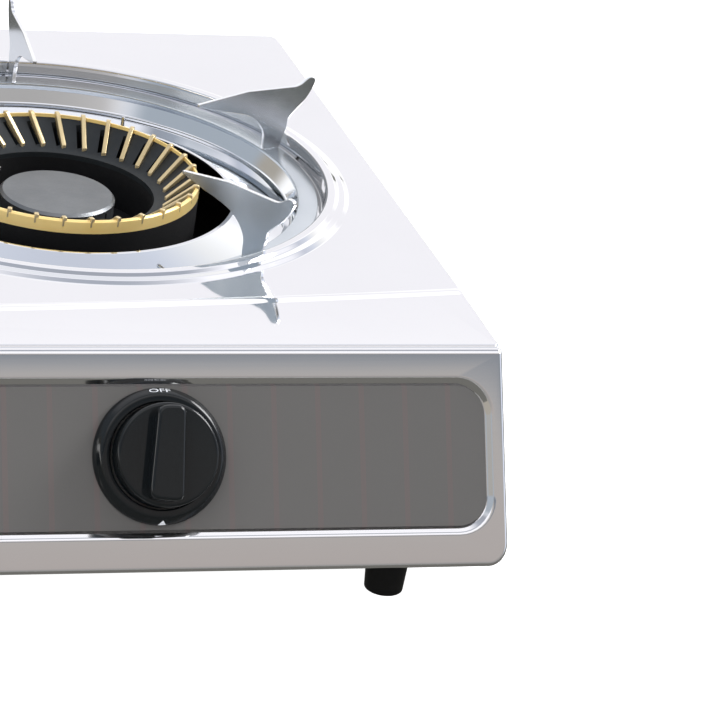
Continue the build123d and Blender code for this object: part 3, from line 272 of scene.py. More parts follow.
BURNERS = [
    Burner("left", -BURNER_X, 114.9, 75.5, 60.5, 41.7, 67.0, 32, 0.0),
    Burner("middle", 0.0, 69.5, 44.0, 33.0, 20.0, 38.0, 18, SMALL_BURNER_SHIFT),
    Burner("right", BURNER_X, 114.9, 75.5, 60.5, 41.7, 67.0, 32, 0.0),
]


def panel_place(x, slant, height):
    """Places a piece that was made round Z on the front panel, at a height above its sheet."""
    normal = Vector((0, -math.cos(PANEL_LEAN), math.sin(PANEL_LEAN)))
    up = Vector((0, math.sin(PANEL_LEAN), math.cos(PANEL_LEAN)))
    origin = Vector((x, panel_top_y, panel_top_z)) - up * slant + normal * height
    turn = Matrix((Vector((1, 0, 0)), up, normal)).transposed().to_4x4()
    return Matrix.Translation(origin) @ turn


# Shader sockets that can be added, subtracted, multiplied and divided
class Value:
    def __init__(self, paint, socket):
        self.paint = paint
        self.socket = socket

    def __add__(self, other):
        return self.paint.maths("ADD", self, other)

    def __sub__(self, other):
        return self.paint.maths("SUBTRACT", self, other)

    def __rsub__(self, other):
        return self.paint.maths("SUBTRACT", other, self)

    def __mul__(self, other):
        return self.paint.maths("MULTIPLY", self, other)

    def __truediv__(self, other):
        return self.paint.maths("DIVIDE", self, other)


class Paint:
    """The node tree of one material, or of the world, with its surface shader at the end."""

    def __init__(self, owner, coordinates="Object"):
        self.owner = bpy.data.materials.new(owner) if isinstance(owner, str) else owner
        self.owner.use_nodes = True
        self.tree = self.owner.node_tree
        self.tree.nodes.clear()
        self.place = self.node("ShaderNodeTexCoord", {}, {}, coordinates)

    def node(self, kind, settings, sockets, result=0):
        """Adds a node: its settings are set first, then the values or links of its sockets."""
        made = self.tree.nodes.new(kind)
        for key, value in settings.items():
            if key == "stops":
                ramp = made.color_ramp
                while len(ramp.elements) < len(value):
                    ramp.elements.new(0.5)
                for element, (position, colour) in zip(ramp.elements, value):
                    element.position = position
                    element.color = (*colour, 1.0)
            else:
                setattr(made, key, value)
        for key, value in sockets.items():
            named = [s for s in made.inputs if key in (s.identifier, s.name)]
            socket = made.inputs[key] if isinstance(key, int) else named[0]
            if isinstance(value, Value):
                self.tree.links.new(value.socket, socket)
            else:
                socket.default_value = value
        return None if result is None else Value(self, made.outputs[result])

    def maths(self, operation, first, second):
        return self.node("ShaderNodeMath", {"operation": operation}, {0: first, 1: second})

    def clamp(self, value):
        return self.node("ShaderNodeClamp", {}, {"Value": value})

    def mix(self, factor, first, second):
        """Colour between two colours."""
        sockets = {"Factor_Float": factor, "A_Color": first, "B_Color": second}
        return self.node("ShaderNodeMix", {"data_type": "RGBA"}, sockets, 2)

    def between(self, value, low, high):
        """0 below the low value, 1 above the high one, and a soft step from one to the other."""
        sockets = {"Value": value, "From Min": low, "From Max": high}
        return self.node("ShaderNodeMapRange", {"interpolation_type": "SMOOTHSTEP"}, sockets)

    def stretch(self, scale):
        """Object coordinates with each axis scaled by itself."""
        return self.node("ShaderNodeMapping", {}, {"Vector": self.place, "Scale": scale})

    def noise(self, vector, scale, detail=3.0, rough=0.55):
        sockets = {"Vector": vector, "Scale": scale, "Detail": detail, "Roughness": rough}
        return self.node("ShaderNodeTexNoise", {}, sockets, "Fac")

    def axis(self, name, vector=None):
        """One of the X, Y or Z coordinates."""
        source = vector or self.place
        return self.node("ShaderNodeSeparateXYZ", {}, {"Vector": source}, name)

    def bump(self, height, strength, distance):
        sockets = {"Height": height, "Strength": strength, "Distance": distance}
        return self.node("ShaderNodeBump", {}, sockets)

    def surface(self, sockets):
        shader = self.node("ShaderNodeBsdfPrincipled", {}, sockets)
        self.node("ShaderNodeOutputMaterial", {}, {"Surface": shader}, None)
        return self.owner


def grey(level):
    return (level, level, level, 1.0)


# Bright rolled steel sheet, polished until it mirrors, with faint rolling lines and smears
def polished_steel(name, tone, shine, lines=(6.0, 900.0, 900.0)):
    paint = Paint(name)
    rolling = paint.noise(paint.stretch(lines), 1.0, 2.0)
    smear = paint.noise(paint.place, 14.0, 4.0)
    cast = paint.clamp(smear * 1.6 - 0.3)
    colour = paint.mix(cast, (*[c * 0.965 for c in tone], 1.0), (*tone, 1.0))
    return paint.surface({
        "Base Color": colour,
        "Metallic": 1.0,
        "Roughness": rolling * 0.03 + smear * 0.035 + shine,
        "Normal": paint.bump(rolling, 0.04, 0.02 * MM),
    })


# Satin steel with cloudy stains from heat
def fin_steel():
    paint = Paint("fin_steel")
    cloud = paint.noise(paint.place, 55.0, 4.0)
    grain = paint.noise(paint.place, 1800.0, 2.0)
    colour = paint.mix(cloud, (0.58, 0.63, 0.68, 1.0), (0.74, 0.78, 0.82, 1.0))
    return paint.surface({
        "Base Color": colour,
        "Metallic": 1.0,
        "Roughness": cloud * 0.12 + grain * 0.06 + 0.14,
        "Normal": paint.bump(grain, 0.15, 0.03 * MM),
    })


# Grey painted plate with faint upright lines at an even pitch
def fascia_paint():
    paint = Paint("fascia_paint")
    across = paint.axis("X") / LINE_PITCH
    beat = paint.maths("FRACT", across + LINE_START, 0.0)
    line = paint.node(
        "ShaderNodeMath", {"operation": "COMPARE"}, {0: beat, 1: 0.5, 2: LINE_HALF_WIDTH}
    )
    fine = paint.noise(paint.place, 2600.0, 2.0)
    shade = paint.mix(fine, (0.101, 0.098, 0.095, 1.0), (0.112, 0.109, 0.105, 1.0))
    colour = paint.mix(line * LINE_STRENGTH, shade, (0.138, 0.101, 0.099, 1.0))
    return paint.surface({
        "Base Color": colour,
        "Roughness": fine * 0.10 + 0.42,
        "Specular IOR Level": 0.35,
        "Normal": paint.bump(fine, 0.08, 0.02 * MM),
    })


# Cast brass in lit and shaded copies: painted light brightens the ring's rim and wall, and painted
# shade leaves its ribs darker and browner
def flame_brass(name, dark, light, metal):
    paint = Paint(name)
    cloud = paint.noise(paint.place, 60.0, 4.0)
    grain = paint.noise(paint.place, 1500.0, 3.0)
    colour = paint.mix(cloud, (*dark, 1.0), (*light, 1.0))
    return paint.surface({
        "Base Color": colour,
        "Metallic": metal,
        "Roughness": grain * 0.10 + cloud * 0.08 + 0.22,
        "Normal": paint.bump(grain, 0.25, 0.05 * MM),
    })


# Sooty inside of the funnel between the ribs
def funnel_soot():
    paint = Paint("funnel_soot")
    grain = paint.noise(paint.place, 1200.0, 4.0)
    cloud = paint.noise(paint.place, 80.0, 3.0)
    colour = paint.mix(cloud, (0.008, 0.010, 0.012, 1.0), (0.020, 0.025, 0.029, 1.0))
    return paint.surface({
        "Base Color": colour,
        "Metallic": 0.3,
        "Roughness": grain * 0.15 + 0.45,
        "Normal": paint.bump(grain, 0.35, 0.06 * MM),
    })


# Black gloss plastic with a little orange peel and faint dust
def knob_gloss():
    paint = Paint("knob_gloss")
    peel = paint.noise(paint.place, 420.0, 2.0)
    dust = paint.noise(paint.place, 3600.0, 2.0)
    colour = paint.mix(dust, (0.004, 0.005, 0.006, 1.0), (0.006, 0.008, 0.009, 1.0))
    return paint.surface({
        "Base Color": colour,
        "Roughness": dust * 0.04 + 0.07,
        "Specular IOR Level": 0.40,
        "Coat Weight": 0.10,
        "Coat Roughness": 0.05,
        "Normal": paint.bump(peel, 0.06, 0.03 * MM),
    })


# Matt black rubber
def foot_rubber():
    paint = Paint("foot_rubber")
    grain = paint.noise(paint.place, 2200.0, 3.0)
    cloud = paint.noise(paint.place, 90.0, 3.0)
    colour = paint.mix(cloud, (0.003, 0.003, 0.003, 1.0), (0.007, 0.007, 0.007, 1.0))
    return paint.surface({
        "Base Color": colour,
        "Specular IOR Level": 0.2,
        "Roughness": grain * 0.12 + 0.40,
        "Normal": paint.bump(grain, 0.30, 0.05 * MM),
    })


# Rough castings: dark iron heads, their near-black partly painted shade under the flame rings,
# pale alloy taps and tubes
def casting(name, dark, light, metal, rough):
    paint = Paint(name)
    grain = paint.noise(paint.place, 900.0, 5.0, 0.65)
    cloud = paint.noise(paint.place, 45.0, 3.0)
    return paint.surface({
        "Base Color": paint.mix(cloud, (*dark, 1.0), (*light, 1.0)),
        "Metallic": metal,
        "Roughness": grain * 0.2 + rough,
        "Normal": paint.bump(grain, 0.5, 0.12 * MM),
    })


# Plated or brushed steel of pipes, brackets, screws and stems
def plated(name, dark, light, rough):
    paint = Paint(name)
    spangle = paint.node(
        "ShaderNodeTexVoronoi", {"feature": "F1"}, {"Vector": paint.place, "Scale": 190.0}, "Color"
    )
    tone = paint.axis("X", spangle)
    fine = paint.noise(paint.place, 1400.0, 2.0)
    return paint.surface({
        "Base Color": paint.mix(tone, (*dark, 1.0), (*light, 1.0)),
        "Metallic": 1.0,
        "Roughness": tone * 0.10 + fine * 0.06 + rough,
        "Normal": paint.bump(fine, 0.10, 0.02 * MM),
    })


# Satin black enamel on the base plate: its black is painted shade for the inside of the case, seen
# through the burner holes
def base_enamel():
    paint = Paint("base_enamel")
    peel = paint.noise(paint.place, 600.0, 2.0)
    cloud = paint.noise(paint.place, 20.0, 3.0)
    return paint.surface({
        "Base Color": paint.mix(cloud, grey(0.012), grey(0.020)),
        "Roughness": cloud * 0.10 + 0.38,
        "Normal": paint.bump(peel, 0.12, 0.04 * MM),
    })


# Glazed ceramic, silicone lead and the white print on the bezels
def glazed(name, dark, light, rough):
    paint = Paint(name)
    cloud = paint.noise(paint.place, 260.0, 3.0)
    fine = paint.noise(paint.place, 1900.0, 2.0)
    return paint.surface({
        "Base Color": paint.mix(cloud, (*dark, 1.0), (*light, 1.0)),
        "Roughness": fine * 0.08 + rough,
        "Normal": paint.bump(fine, 0.10, 0.02 * MM),
    })


PLATE_STEEL = polished_steel("plate_steel", (0.93, 0.93, 0.945), 0.015)
CASE_STEEL = polished_steel("case_steel", (0.90, 0.895, 0.90), 0.05)
PAN_CHROME = polished_steel("pan_chrome", (0.86, 0.875, 0.90), 0.03, (40.0, 40.0, 900.0))
FIN_STEEL = fin_steel()
# Polished steel for the fins' edges, lighter than their faces: a painted highlight along each edge
FIN_EDGE_HIGHLIGHT = polished_steel("fin_edge", (0.93, 0.94, 0.96), 0.16)
FASCIA_PAINT = fascia_paint()
# The ring's copy is brightened and less metallic as painted light; the ribs' copy is darkened as
# painted shade
RING_BRASS_LIT = flame_brass("flame_brass", (0.95, 0.66, 0.20), (1.0, 0.78, 0.36), 0.2)
RIB_BRASS_SHADED = flame_brass("rib_brass", (0.66, 0.51, 0.27), (0.78, 0.64, 0.38), 0.7)
FUNNEL_SOOT = funnel_soot()
KNOB_GLOSS = knob_gloss()
FOOT_RUBBER = foot_rubber()
BASE_PAINTED_SHADE = base_enamel()
# The heads' iron is darker than cast iron: partly painted shade for the hollow under each flame
# ring
HEAD_IRON_SHADED = casting("head_iron", (0.004, 0.004, 0.005), (0.008, 0.008, 0.009), 0.2, 0.6)
TAP_ALLOY = casting("tap_alloy", (0.50, 0.50, 0.51), (0.62, 0.62, 0.63), 1.0, 0.35)
CAP_STEEL = casting("cap_steel", (0.16, 0.17, 0.18), (0.30, 0.31, 0.32), 0.9, 0.32)
SCREW_STEEL = plated("screw_steel", (0.62, 0.62, 0.64), (0.72, 0.72, 0.74), 0.14)
PIPE_STEEL = plated("pipe_steel", (0.48, 0.49, 0.51), (0.60, 0.61, 0.63), 0.28)
INLET_BRASS = plated("inlet_brass", (0.70, 0.50, 0.20), (0.82, 0.62, 0.30), 0.24)
CERAMIC = glazed("electrode_ceramic", (0.76, 0.74, 0.69), (0.84, 0.82, 0.78), 0.12)
LEAD_SILICONE = glazed("lead_silicone", (0.22, 0.030, 0.025), (0.30, 0.045, 0.035), 0.42)
PRINT_WHITE = glazed("print_white", (0.66, 0.68, 0.71), (0.78, 0.80, 0.83), 0.35)


# Flat line work: outlines in a section plane, as (distance, height)
def rounded(points, radius, closed=False):
    """The same line with its corners replaced by arcs."""
    points = [Vector(p) for p in points]
    count = len(points)
    line = []
    for index, corner in enumerate(points):
        inner = 0 < index < count - 1
        before = (points[index - 1] - corner) if inner or closed else None
        if before is None:
            line.append(corner)
            continue
        after = points[(index + 1) % count] - corner
        turn = math.pi - before.angle(after)
        if turn < math.radians(4):
            line.append(corner)
            continue
        reach = min(radius * math.tan(turn / 2), 0.48 * before.length, 0.48 * after.length)
        start, end = corner + before.normalized() * reach, corner + after.normalized() * reach
        steps = max(2, math.ceil(turn / math.radians(15)))
        for step in range(steps + 1):
            share = step / steps
            ends = start.lerp(corner, share)
            line.append(ends.lerp(corner.lerp(end, share), share))
    return line


def band(path, thickness):
    """Closed outline of a sheet whose seen side is the path; the sheet lies on its left."""
    far_side = []
    for index, point in enumerate(path):
        before = path[max(index - 1, 0)]
        after = path[min(index + 1, len(path) - 1)]
        along = (point - before).normalized() + (after - point).normalized()
        side = Vector((-along.y, along.x)).normalized()
        run = (after - point) if after != point else (point - before)
        flat = Vector((-run.y, run.x)).normalized()
        far_side.append(point + side * (thickness / max(side.dot(flat), 0.3)))
    return [*path, *reversed(far_side)]


def through(points, steps=4):
    """Smooth line through given points."""
    line = []
    points = [Vector(p) for p in points]
    ends = [2 * points[0] - points[1], *points, 2 * points[-1] - points[-2]]
    for a, b, c, d in zip(ends, ends[1:], ends[2:], ends[3:]):
        for step in range(steps):
            t = step / steps
            line.append(0.5 * (
                2 * b + (c - a) * t + (2 * a - 5 * b + 4 * c - d) * t**2
                + (3 * b - a - 3 * c + d) * t**3
            ))
    return [*line, points[-1]]


# Selection and edit-mode helpers
def deselect_everything():
    bpy.ops.object.select_all(action="DESELECT")


def apply_place():
    bpy.ops.object.transform_apply(location=True, rotation=True, scale=True)


def pick_everything():
    bpy.ops.mesh.select_all(action="SELECT")


def edit_mode():
    bpy.ops.object.mode_set(mode="EDIT")


def object_mode():
    bpy.ops.object.mode_set(mode="OBJECT")


def pick(kind, test):
    """In edit mode, selects only the vertices, edges or faces that pass the test."""
    modes = {"verts": "VERT", "edges": "EDGE", "faces": "FACE"}
    bpy.ops.mesh.select_mode(type=modes[kind])
    bpy.ops.mesh.select_all(action="DESELECT")
    mesh = bmesh.from_edit_mesh(bpy.context.object.data)
    for element in getattr(mesh, kind):
        if test(element):
            element.select_set(True)
    mesh.select_flush_mode()
    bmesh.update_edit_mesh(bpy.context.object.data)


def middle(element):
    return sum((v.co for v in element.verts), Vector()) / len(element.verts)


def start_point(name, at):
    """New piece that is one vertex, left in edit mode."""
    deselect_everything()
    bpy.ops.mesh.primitive_plane_add(size=MM, location=at)
    piece = bpy.context.object
    piece.name = name
    apply_place()
    edit_mode()
    bpy.ops.mesh.select_mode(type="VERT")
    pick_everything()
    bpy.ops.mesh.merge(type="CENTER")
    return piece


def draw(points):
    """Extrudes the selected vertex along the points, from the first to the last."""
    for start, end in zip(points, points[1:]):
        bpy.ops.mesh.extrude_vertices_move(TRANSFORM_OT_translate={"value": end - start})


def weld():
    pick_everything()
    bpy.ops.mesh.remove_doubles(threshold=WELD)
    bpy.ops.mesh.normals_make_consistent(inside=False)


def turned(name, outline, centre, steps=160, closed=True):
    """Piece turned about an upright line from an outline of (radius, height)."""
    outline = [*outline, outline[0]] if closed else outline
    points = [centre + Vector((p[0], 0, p[1])) for p in outline]
    piece = start_point(name, points[0])
    draw(points)
    pick_everything()
    bpy.ops.mesh.spin(steps=steps, angle=math.tau, center=centre, axis=(0, 0, 1))
    weld()
    object_mode()
    return piece


def prism(name, outline, vector):
    """Piece extruded from a closed outline of points in space."""
    piece = start_point(name, outline[0])
    draw([*outline, outline[0]])
    pick_everything()
    bpy.ops.mesh.remove_doubles(threshold=WELD)
    bpy.ops.mesh.edge_face_add()
    bpy.ops.mesh.extrude_region_move(TRANSFORM_OT_translate={"value": vector})
    weld()
    object_mode()
    return piece


def block(name, low, high):
    deselect_everything()
    size = high - low
    bpy.ops.mesh.primitive_cube_add(size=1, location=(low + high) / 2, scale=size)
    piece = bpy.context.object
    piece.name = name
    apply_place()
    return piece


def only(piece):
    deselect_everything()
    piece.select_set(True)
    bpy.context.view_layer.objects.active = piece


def set_down(piece, place):
    """Takes a finished shape to its place, and leaves that place in its mesh."""
    only(piece)
    piece.matrix_world = place
    apply_place()


def modify(piece, kind, **settings):
    """Adds a modifier, sets it and applies it."""
    only(piece)
    modifier = piece.modifiers.new(kind.lower(), kind)
    for key, value in settings.items():
        setattr(modifier, key, value)
    bpy.ops.object.modifier_apply(modifier=modifier.name)


def soften(piece, width, segments=2, angle=30.0):
    modify(
        piece, "BEVEL", width=width, segments=segments, limit_method="ANGLE",
        angle_limit=math.radians(angle), use_clamp_overlap=True,
    )


def smooth(piece, angle=40.0):
    only(piece)
    bpy.ops.object.shade_smooth_by_angle(angle=math.radians(angle))
    modify(piece, "WEIGHTED_NORMAL", weight=80, keep_sharp=True)


def joined(name, pieces):
    deselect_everything()
    for piece in pieces:
        piece.select_set(True)
    bpy.context.view_layer.objects.active = pieces[0]
    if len(pieces) > 1:
        bpy.ops.object.join()
    pieces[0].name = name
    return pieces[0]


def copied(piece, place):
    twin = piece.copy()
    twin.data = piece.data.copy()
    bpy.context.scene.collection.objects.link(twin)
    set_down(twin, place)
    return twin


def fit_out(piece, finish, slot, body, *nodes):
    """Gives a finished piece its material and body, and hides the solids that it stands for."""
    if finish:
        piece.data.materials.clear()
        piece.data.materials.append(finish)
    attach(piece, body)
    if nodes:
        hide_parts(*nodes)


# Case: bent steel sheet with a slanted front panel and a pressed recess
def make_case():
    corners = [
        (panel_low_y, base_z), (panel_top_y, panel_top_z), (seam_y, panel_top_z),
        (seam_y, rim_low_z), (rear_y, rim_low_z), (rear_y, base_z),
    ]
    outline = [Vector((-half_width, y, z)) for y, z in corners]
    case = prism("case_shell", outline, Vector((2 * half_width, 0, 0)))
    edit_mode()

    def bevel(test, width, segments, kind="OFFSET"):
        pick("edges", test)
        bpy.ops.mesh.bevel(offset=width, offset_type=kind, segments=segments, affect="EDGES")

    def low_side(edge):
        at = middle(edge)
        return abs(at.x) > half_width - MM and at.z < base_z + MM

    def panel_edge(edge):
        on_panel = any(abs(f.normal.y + math.cos(PANEL_LEAN)) < 0.01 for f in edge.link_faces)
        return on_panel and middle(edge).z < panel_top_z - WELD

    def nose_edge(edge):
        level = any(
            f.normal.z > SQUARE and abs(middle(f).z - panel_top_z) < WELD for f in edge.link_faces
        )
        return level and middle(edge).y < seam_y - WELD

    def rear_edge(edge):
        seen = any(f.normal.y > SQUARE and middle(f).y > rear_y - MM for f in edge.link_faces)
        return seen and middle(edge).z < rim_low_z - MM

    bevel(low_side, SIDE_BEND, 8)
    bevel(panel_edge, PANEL_FACE, 6, "WIDTH")
    bevel(nose_edge, NOSE_FACE, 7)
    bevel(rear_edge, REAR_BEND, 5)
    object_mode()

    # The press tool: a rounded block with sloping sides, which leaves the recess behind
    deselect_everything()
    bpy.ops.mesh.primitive_plane_add(size=1)
    tool = bpy.context.object
    width = 2 * (half_width - RECESS_SIDE) + 2 * RECESS_RUN
    tool.scale = (width, RECESS_HEIGHT + 2 * RECESS_RUN, 1)
    apply_place()
    edit_mode()
    pick_everything()
    bpy.ops.mesh.bevel(offset=RECESS_CORNER + RECESS_RUN, segments=10, affect="VERTICES")
    pick("faces", lambda face: True)
    bpy.ops.mesh.extrude_region_move(TRANSFORM_OT_translate={"value": (0, 0, -EDGE_ROUND)})
    weld()
    pick("faces", lambda face: face.normal.z < -SQUARE)
    bpy.ops.mesh.inset(thickness=2 * RECESS_RUN, depth=2 * RECESS_DEPTH)
    weld()
    object_mode()
    set_down(tool, panel_place(0, RECESS_TOP + RECESS_HEIGHT / 2, RECESS_DEPTH + EDGE_ROUND))
    modify(case, "BOOLEAN", operation="DIFFERENCE", solver="EXACT", object=tool)
    bpy.data.objects.remove(tool)

    only(case)
    edit_mode()
    to_panel = panel_place(0, 0, 0).inverted()

    def recess_edge(edge):
        near = [to_panel @ v.co for v in edge.verts]
        lowest, highest = -RECESS_TOP - RECESS_HEIGHT - MM, MM - RECESS_TOP
        inside = all(
            abs(p.x) < half_width - RECESS_SIDE + MM and lowest < p.y < highest for p in near
        )
        level = all(abs(p.z) < TOUCHING for p in near)
        floor = all(abs(p.z + RECESS_DEPTH) < TOUCHING for p in near)
        flat = len(edge.link_faces) == 2 and edge.calc_face_angle(0) < math.radians(5)
        return inside and (level or floor) and not flat

    bevel(recess_edge, RECESS_LIP, 3)
    pick("faces", lambda face: (
        (face.normal.z > SQUARE and middle(face).z < rim_low_z + MM)
        or (face.normal.y > SQUARE and abs(middle(face).y - seam_y) < MM)
    ))
    bpy.ops.mesh.delete(type="FACE")
    pick("faces", lambda face: face.normal.z < -SQUARE and face.calc_area() > BOTTOM_AREA)
    bpy.ops.mesh.inset(thickness=FLANGE_WIDTH - PANEL_BEND)
    bpy.ops.mesh.delete(type="FACE")
    object_mode()
    modify(case, "SOLIDIFY", thickness=SHEET, offset=-1.0)
    smooth(case, 35.0)
    fit_out(case, CASE_STEEL, "case_steel", "case", "body_shell")


def tilt_forward(angle, pivot):
    """Turns the selected vertices so that what lies towards the knobs goes down."""
    bpy.ops.transform.rotate(value=-angle, orient_axis="X", center_override=pivot)


# Top plate: a shallow tray with a bead along the ridge and a raised ring round each well
def make_top_plate():
    plate = block(
        "top_plate_sheet",
        Vector((-half_width, plate_front_y, rim_low_z)), Vector((half_width, rear_y, top_z)),
    )
    edit_mode()

    def bevel(test, width, segments):
        pick("edges", test)
        bpy.ops.mesh.bevel(offset=width, segments=segments, affect="EDGES")

    def upright(edge, rear):
        a, b = (v.co for v in edge.verts)
        return abs(a.x - b.x) < WELD and abs(a.y - b.y) < WELD and (a.y > 0) == rear

    bevel(lambda edge: upright(edge, False), PLATE_CORNER, 6)
    bevel(lambda edge: upright(edge, True), REAR_BEND, 8)
    bevel(lambda edge: all(v.co.z > top_z - WELD for v in edge.verts), PLATE_EDGE, 5)
    pick("faces", lambda face: face.normal.z < -SQUARE)
    bpy.ops.mesh.delete(type="FACE")

    ridge_side_y = seam_y + RIDGE_AT_SIDE
    for offset, _ in RIDGE_BEAD:
        pick_everything()
        bpy.ops.mesh.bisect(plane_co=(0, ridge_side_y + offset, 0), plane_no=(0, 1, 0))
    pick("faces", lambda face: face.normal.z > 0.999 and middle(face).z > top_z - WELD)
    bpy.ops.mesh.delete(type="ONLY_FACE")
    edge_x = half_width - PLATE_EDGE

    def across(edge):
        a, b = (v.co for v in edge.verts)
        return abs(a.x - b.x) > half_width and abs(a.y - ridge_side_y) < 4 * MM

    pick("edges", across)
    bpy.ops.mesh.delete(type="EDGE")

    # The strip before the ridge slopes down in one plane to the seam
    slope = math.atan(STRIP_DROP / (ridge_side_y - plate_front_y))
    pick("verts", lambda v: v.co.y < ridge_side_y - WELD and v.co.z > rim_low_z + MM)
    tilt_forward(slope, Vector((0, ridge_side_y, top_z)))

    # Rows of the bead, drawn from side to side
    def ridge_y(x):
        return seam_y + RIDGE_AT_MIDDLE + (RIDGE_AT_SIDE - RIDGE_AT_MIDDLE) * (x / half_width) ** 2

    def strip_z(y):
        return top_z - max(0.0, ridge_side_y - y) * math.tan(slope)

    rows = []
    for offset, rise in RIDGE_BEAD:
        pick("verts", lambda v: (
            v.co.x < NEAR - edge_x and abs(v.co.y - ridge_side_y - offset) < NEAR
            and v.co.z > top_z - ROW_LOW
        ))
        start = [v.co.copy() for v in bmesh.from_edit_mesh(plate.data).verts if v.select]
        start = max(start, key=lambda co: co.x)
        pick("verts", lambda v: (v.co - start).length < WELD)
        row = [start]
        for step in range(RIDGE_STEPS + 1):
            x = (edge_x - RIDGE_END) * (2 * step / RIDGE_STEPS - 1)
            y = ridge_y(x) + offset
            base = top_z if offset > 0 else strip_z(y)
            row.append(Vector((x, y, base + rise)))
        row.append(Vector((-start.x, start.y, start.z)))
        draw(row)
        rows.append(row)
    pick_everything()
    bpy.ops.mesh.remove_doubles(threshold=ROW_WELD)

    def on_row(edge, row):
        return all(any((v.co - p).length < ON_ROW for p in row) for v in edge.verts)

    for first, second in zip(rows, rows[1:]):
        pick("edges", lambda e: (
            len(e.link_faces) < 2 and (on_row(e, first) or on_row(e, second))
            and abs(e.verts[0].co.x - e.verts[1].co.x) > NEAR
        ))
        bpy.ops.mesh.bridge_edge_loops()

    # Flat fields: the strip, then the plate with a round hole for each well
    def open_edge(edge):
        return len(edge.link_faces) < 2

    low_row = rows[-1]

    def strip_edge(edge):
        at = middle(edge)
        return (
            open_edge(edge) and at.z > rim_low_z + MM
            and (at.y < ridge_side_y + RIDGE_BEAD[-1][0] - WELD or on_row(edge, low_row))
            and at.y < ridge_y(at.x) + RIDGE_BEAD[-1][0] + FIELD_MARGIN
        )

    pick("edges", strip_edge)
    bpy.ops.mesh.fill(use_beauty=True)
    for burner in BURNERS:
        bpy.ops.mesh.primitive_circle_add(
            vertices=ROUND_STEPS, radius=burner.well + EMBOSS_WIDTH + SHEET, location=burner.centre
        )

    def plate_edge(edge):
        at = middle(edge)
        return (
            open_edge(edge) and at.z > top_z - NEAR
            and at.y > ridge_y(at.x) + RIDGE_BEAD[0][0] - ROW_LOW
        )

    pick("edges", plate_edge)
    bpy.ops.mesh.fill(use_beauty=True)
    object_mode()
    rings = []
    for burner in BURNERS:
        well = burner.well
        foot = well + EMBOSS_WIDTH
        step = foot - STEP_RUN
        line = rounded([
            (foot + SHEET, 0), (foot, 0), (step, STEP_HEIGHT),
            (step - STEP_WIDTH, STEP_HEIGHT + STEP_RISE),
            (well + CREST_WIDTH, EMBOSS_HEIGHT), (well, EMBOSS_HEIGHT),
            (well, -WELL_DEPTH), (well - WELL_LEDGE, -WELL_DEPTH),
        ], CREST_ROUND)
        rings.append(turned(f"emboss_{burner.name}", line, burner.centre, ROUND_STEPS, False))
    joined("top_plate_sheet", [plate, *rings])
    only(plate)
    edit_mode()
    pick_everything()
    bpy.ops.mesh.remove_doubles(threshold=RING_WELD)
    bpy.ops.mesh.normals_make_consistent(inside=False)
    object_mode()
    modify(plate, "SOLIDIFY", thickness=SHEET, offset=-1.0)
    smooth(plate, 50.0)
    fit_out(plate, PLATE_STEEL, "top_steel", "case", "top_plate")


# Chromed drip pan under each trivet
def make_drip_pan(burner):
    wall_low = burner.pan - PAN_RIM - PAN_WALL_RUN
    gutter_z = pan_rim_z - PAN_DEPTH
    lip_z = gutter_z + PAN_LIP_RISE
    seen_side = rounded([
        (burner.hole, lip_z), (burner.hole + PAN_LIP, lip_z),
        (wall_low - PAN_GUTTER, gutter_z), (wall_low, gutter_z),
        (burner.pan - PAN_RIM, pan_rim_z), (burner.pan, pan_rim_z),
    ], PAN_BEND)
    pan = turned(f"drip_pan_{burner.name}_sheet", band(seen_side, -SHEET), burner.centre,
                 ROUND_STEPS)
    smooth(pan, 50.0)
    fit_out(pan, PAN_CHROME, "pan_chrome", f"pan_{burner.name}_body", f"drip_pan_{burner.name}")


# Trivet: a flat ring with five upright fins
def make_trivet(burner):
    foot_out = burner.pan - TRIVET_PLAY
    foot_in = foot_out - TRIVET_RING_WIDTH
    low = pan_rim_z
    ring = turned(
        f"trivet_{burner.name}_ring",
        [(foot_in, low), (foot_out, low), (foot_out, low + TRIVET_RING_THICKNESS),
         (foot_in, low + TRIVET_RING_THICKNESS)],
        burner.centre, ROUND_STEPS,
    )
    soften(ring, EDGE_ROUND, 2)
    smooth(ring)
    fit_out(ring, FIN_STEEL, "trivet_steel", f"trivet_{burner.name}_body",
            f"trivet_ring_{burner.name}")

    low += TRIVET_RING_THICKNESS
    heel = foot_in - FIN_HEEL_RUN
    elbow = burner.tip + FIN_ELBOW_SHARE * (heel - burner.tip)
    shoulder = foot_out + FIN_SHOULDER
    brow = (burner.tip + shoulder) / 2
    outer = through([
        (foot_out, low), *((foot_out + reach, height) for reach, height in FIN_BACK),
        (shoulder + FIN_DIP_REACH, FIN_DIP_Z), (shoulder, FIN_TOP),
    ], FIN_STEPS)
    inner = through([
        (burner.tip, FIN_TIP_LOW), (elbow, FIN_ELBOW_Z), (heel, FIN_HEEL_Z),
        (foot_in - FIN_INSTEP, FIN_WAIST_Z), (foot_in, low),
    ], FIN_STEPS)
    outline = [*outer, Vector((brow, FIN_TOP)), Vector((burner.tip, FIN_TIP_TOP)), *inner]
    half = FIN_THICKNESS / 2
    points = [Vector((p.x, -half, p.y)) for p in outline]
    fin = prism(f"trivet_{burner.name}_fins", points, Vector((0, 2 * half, 0)))
    soften(fin, EDGE_ROUND, 2, 50.0)
    # The edge faces get the lighter steel, a painted highlight
    fin.data.materials.append(FIN_STEEL)
    fin.data.materials.append(FIN_EDGE_HIGHLIGHT)
    only(fin)
    edit_mode()
    pick("faces", lambda face: abs(face.normal.y) < 0.98)
    fin.active_material_index = 1
    bpy.ops.object.material_slot_assign()
    object_mode()
    fins = []
    for index in range(FINS):
        turn = Matrix.Rotation(FIRST_FIN + index * math.tau / FINS, 4, "Z")
        fins.append(copied(fin, Matrix.Translation(burner.centre) @ turn))
    bpy.data.objects.remove(fin)
    fins = joined(f"trivet_{burner.name}_fins", fins)
    smooth(fins)
    fit_out(fins, None, "trivet_steel", f"trivet_{burner.name}_body",
            f"trivet_fins_{burner.name}")


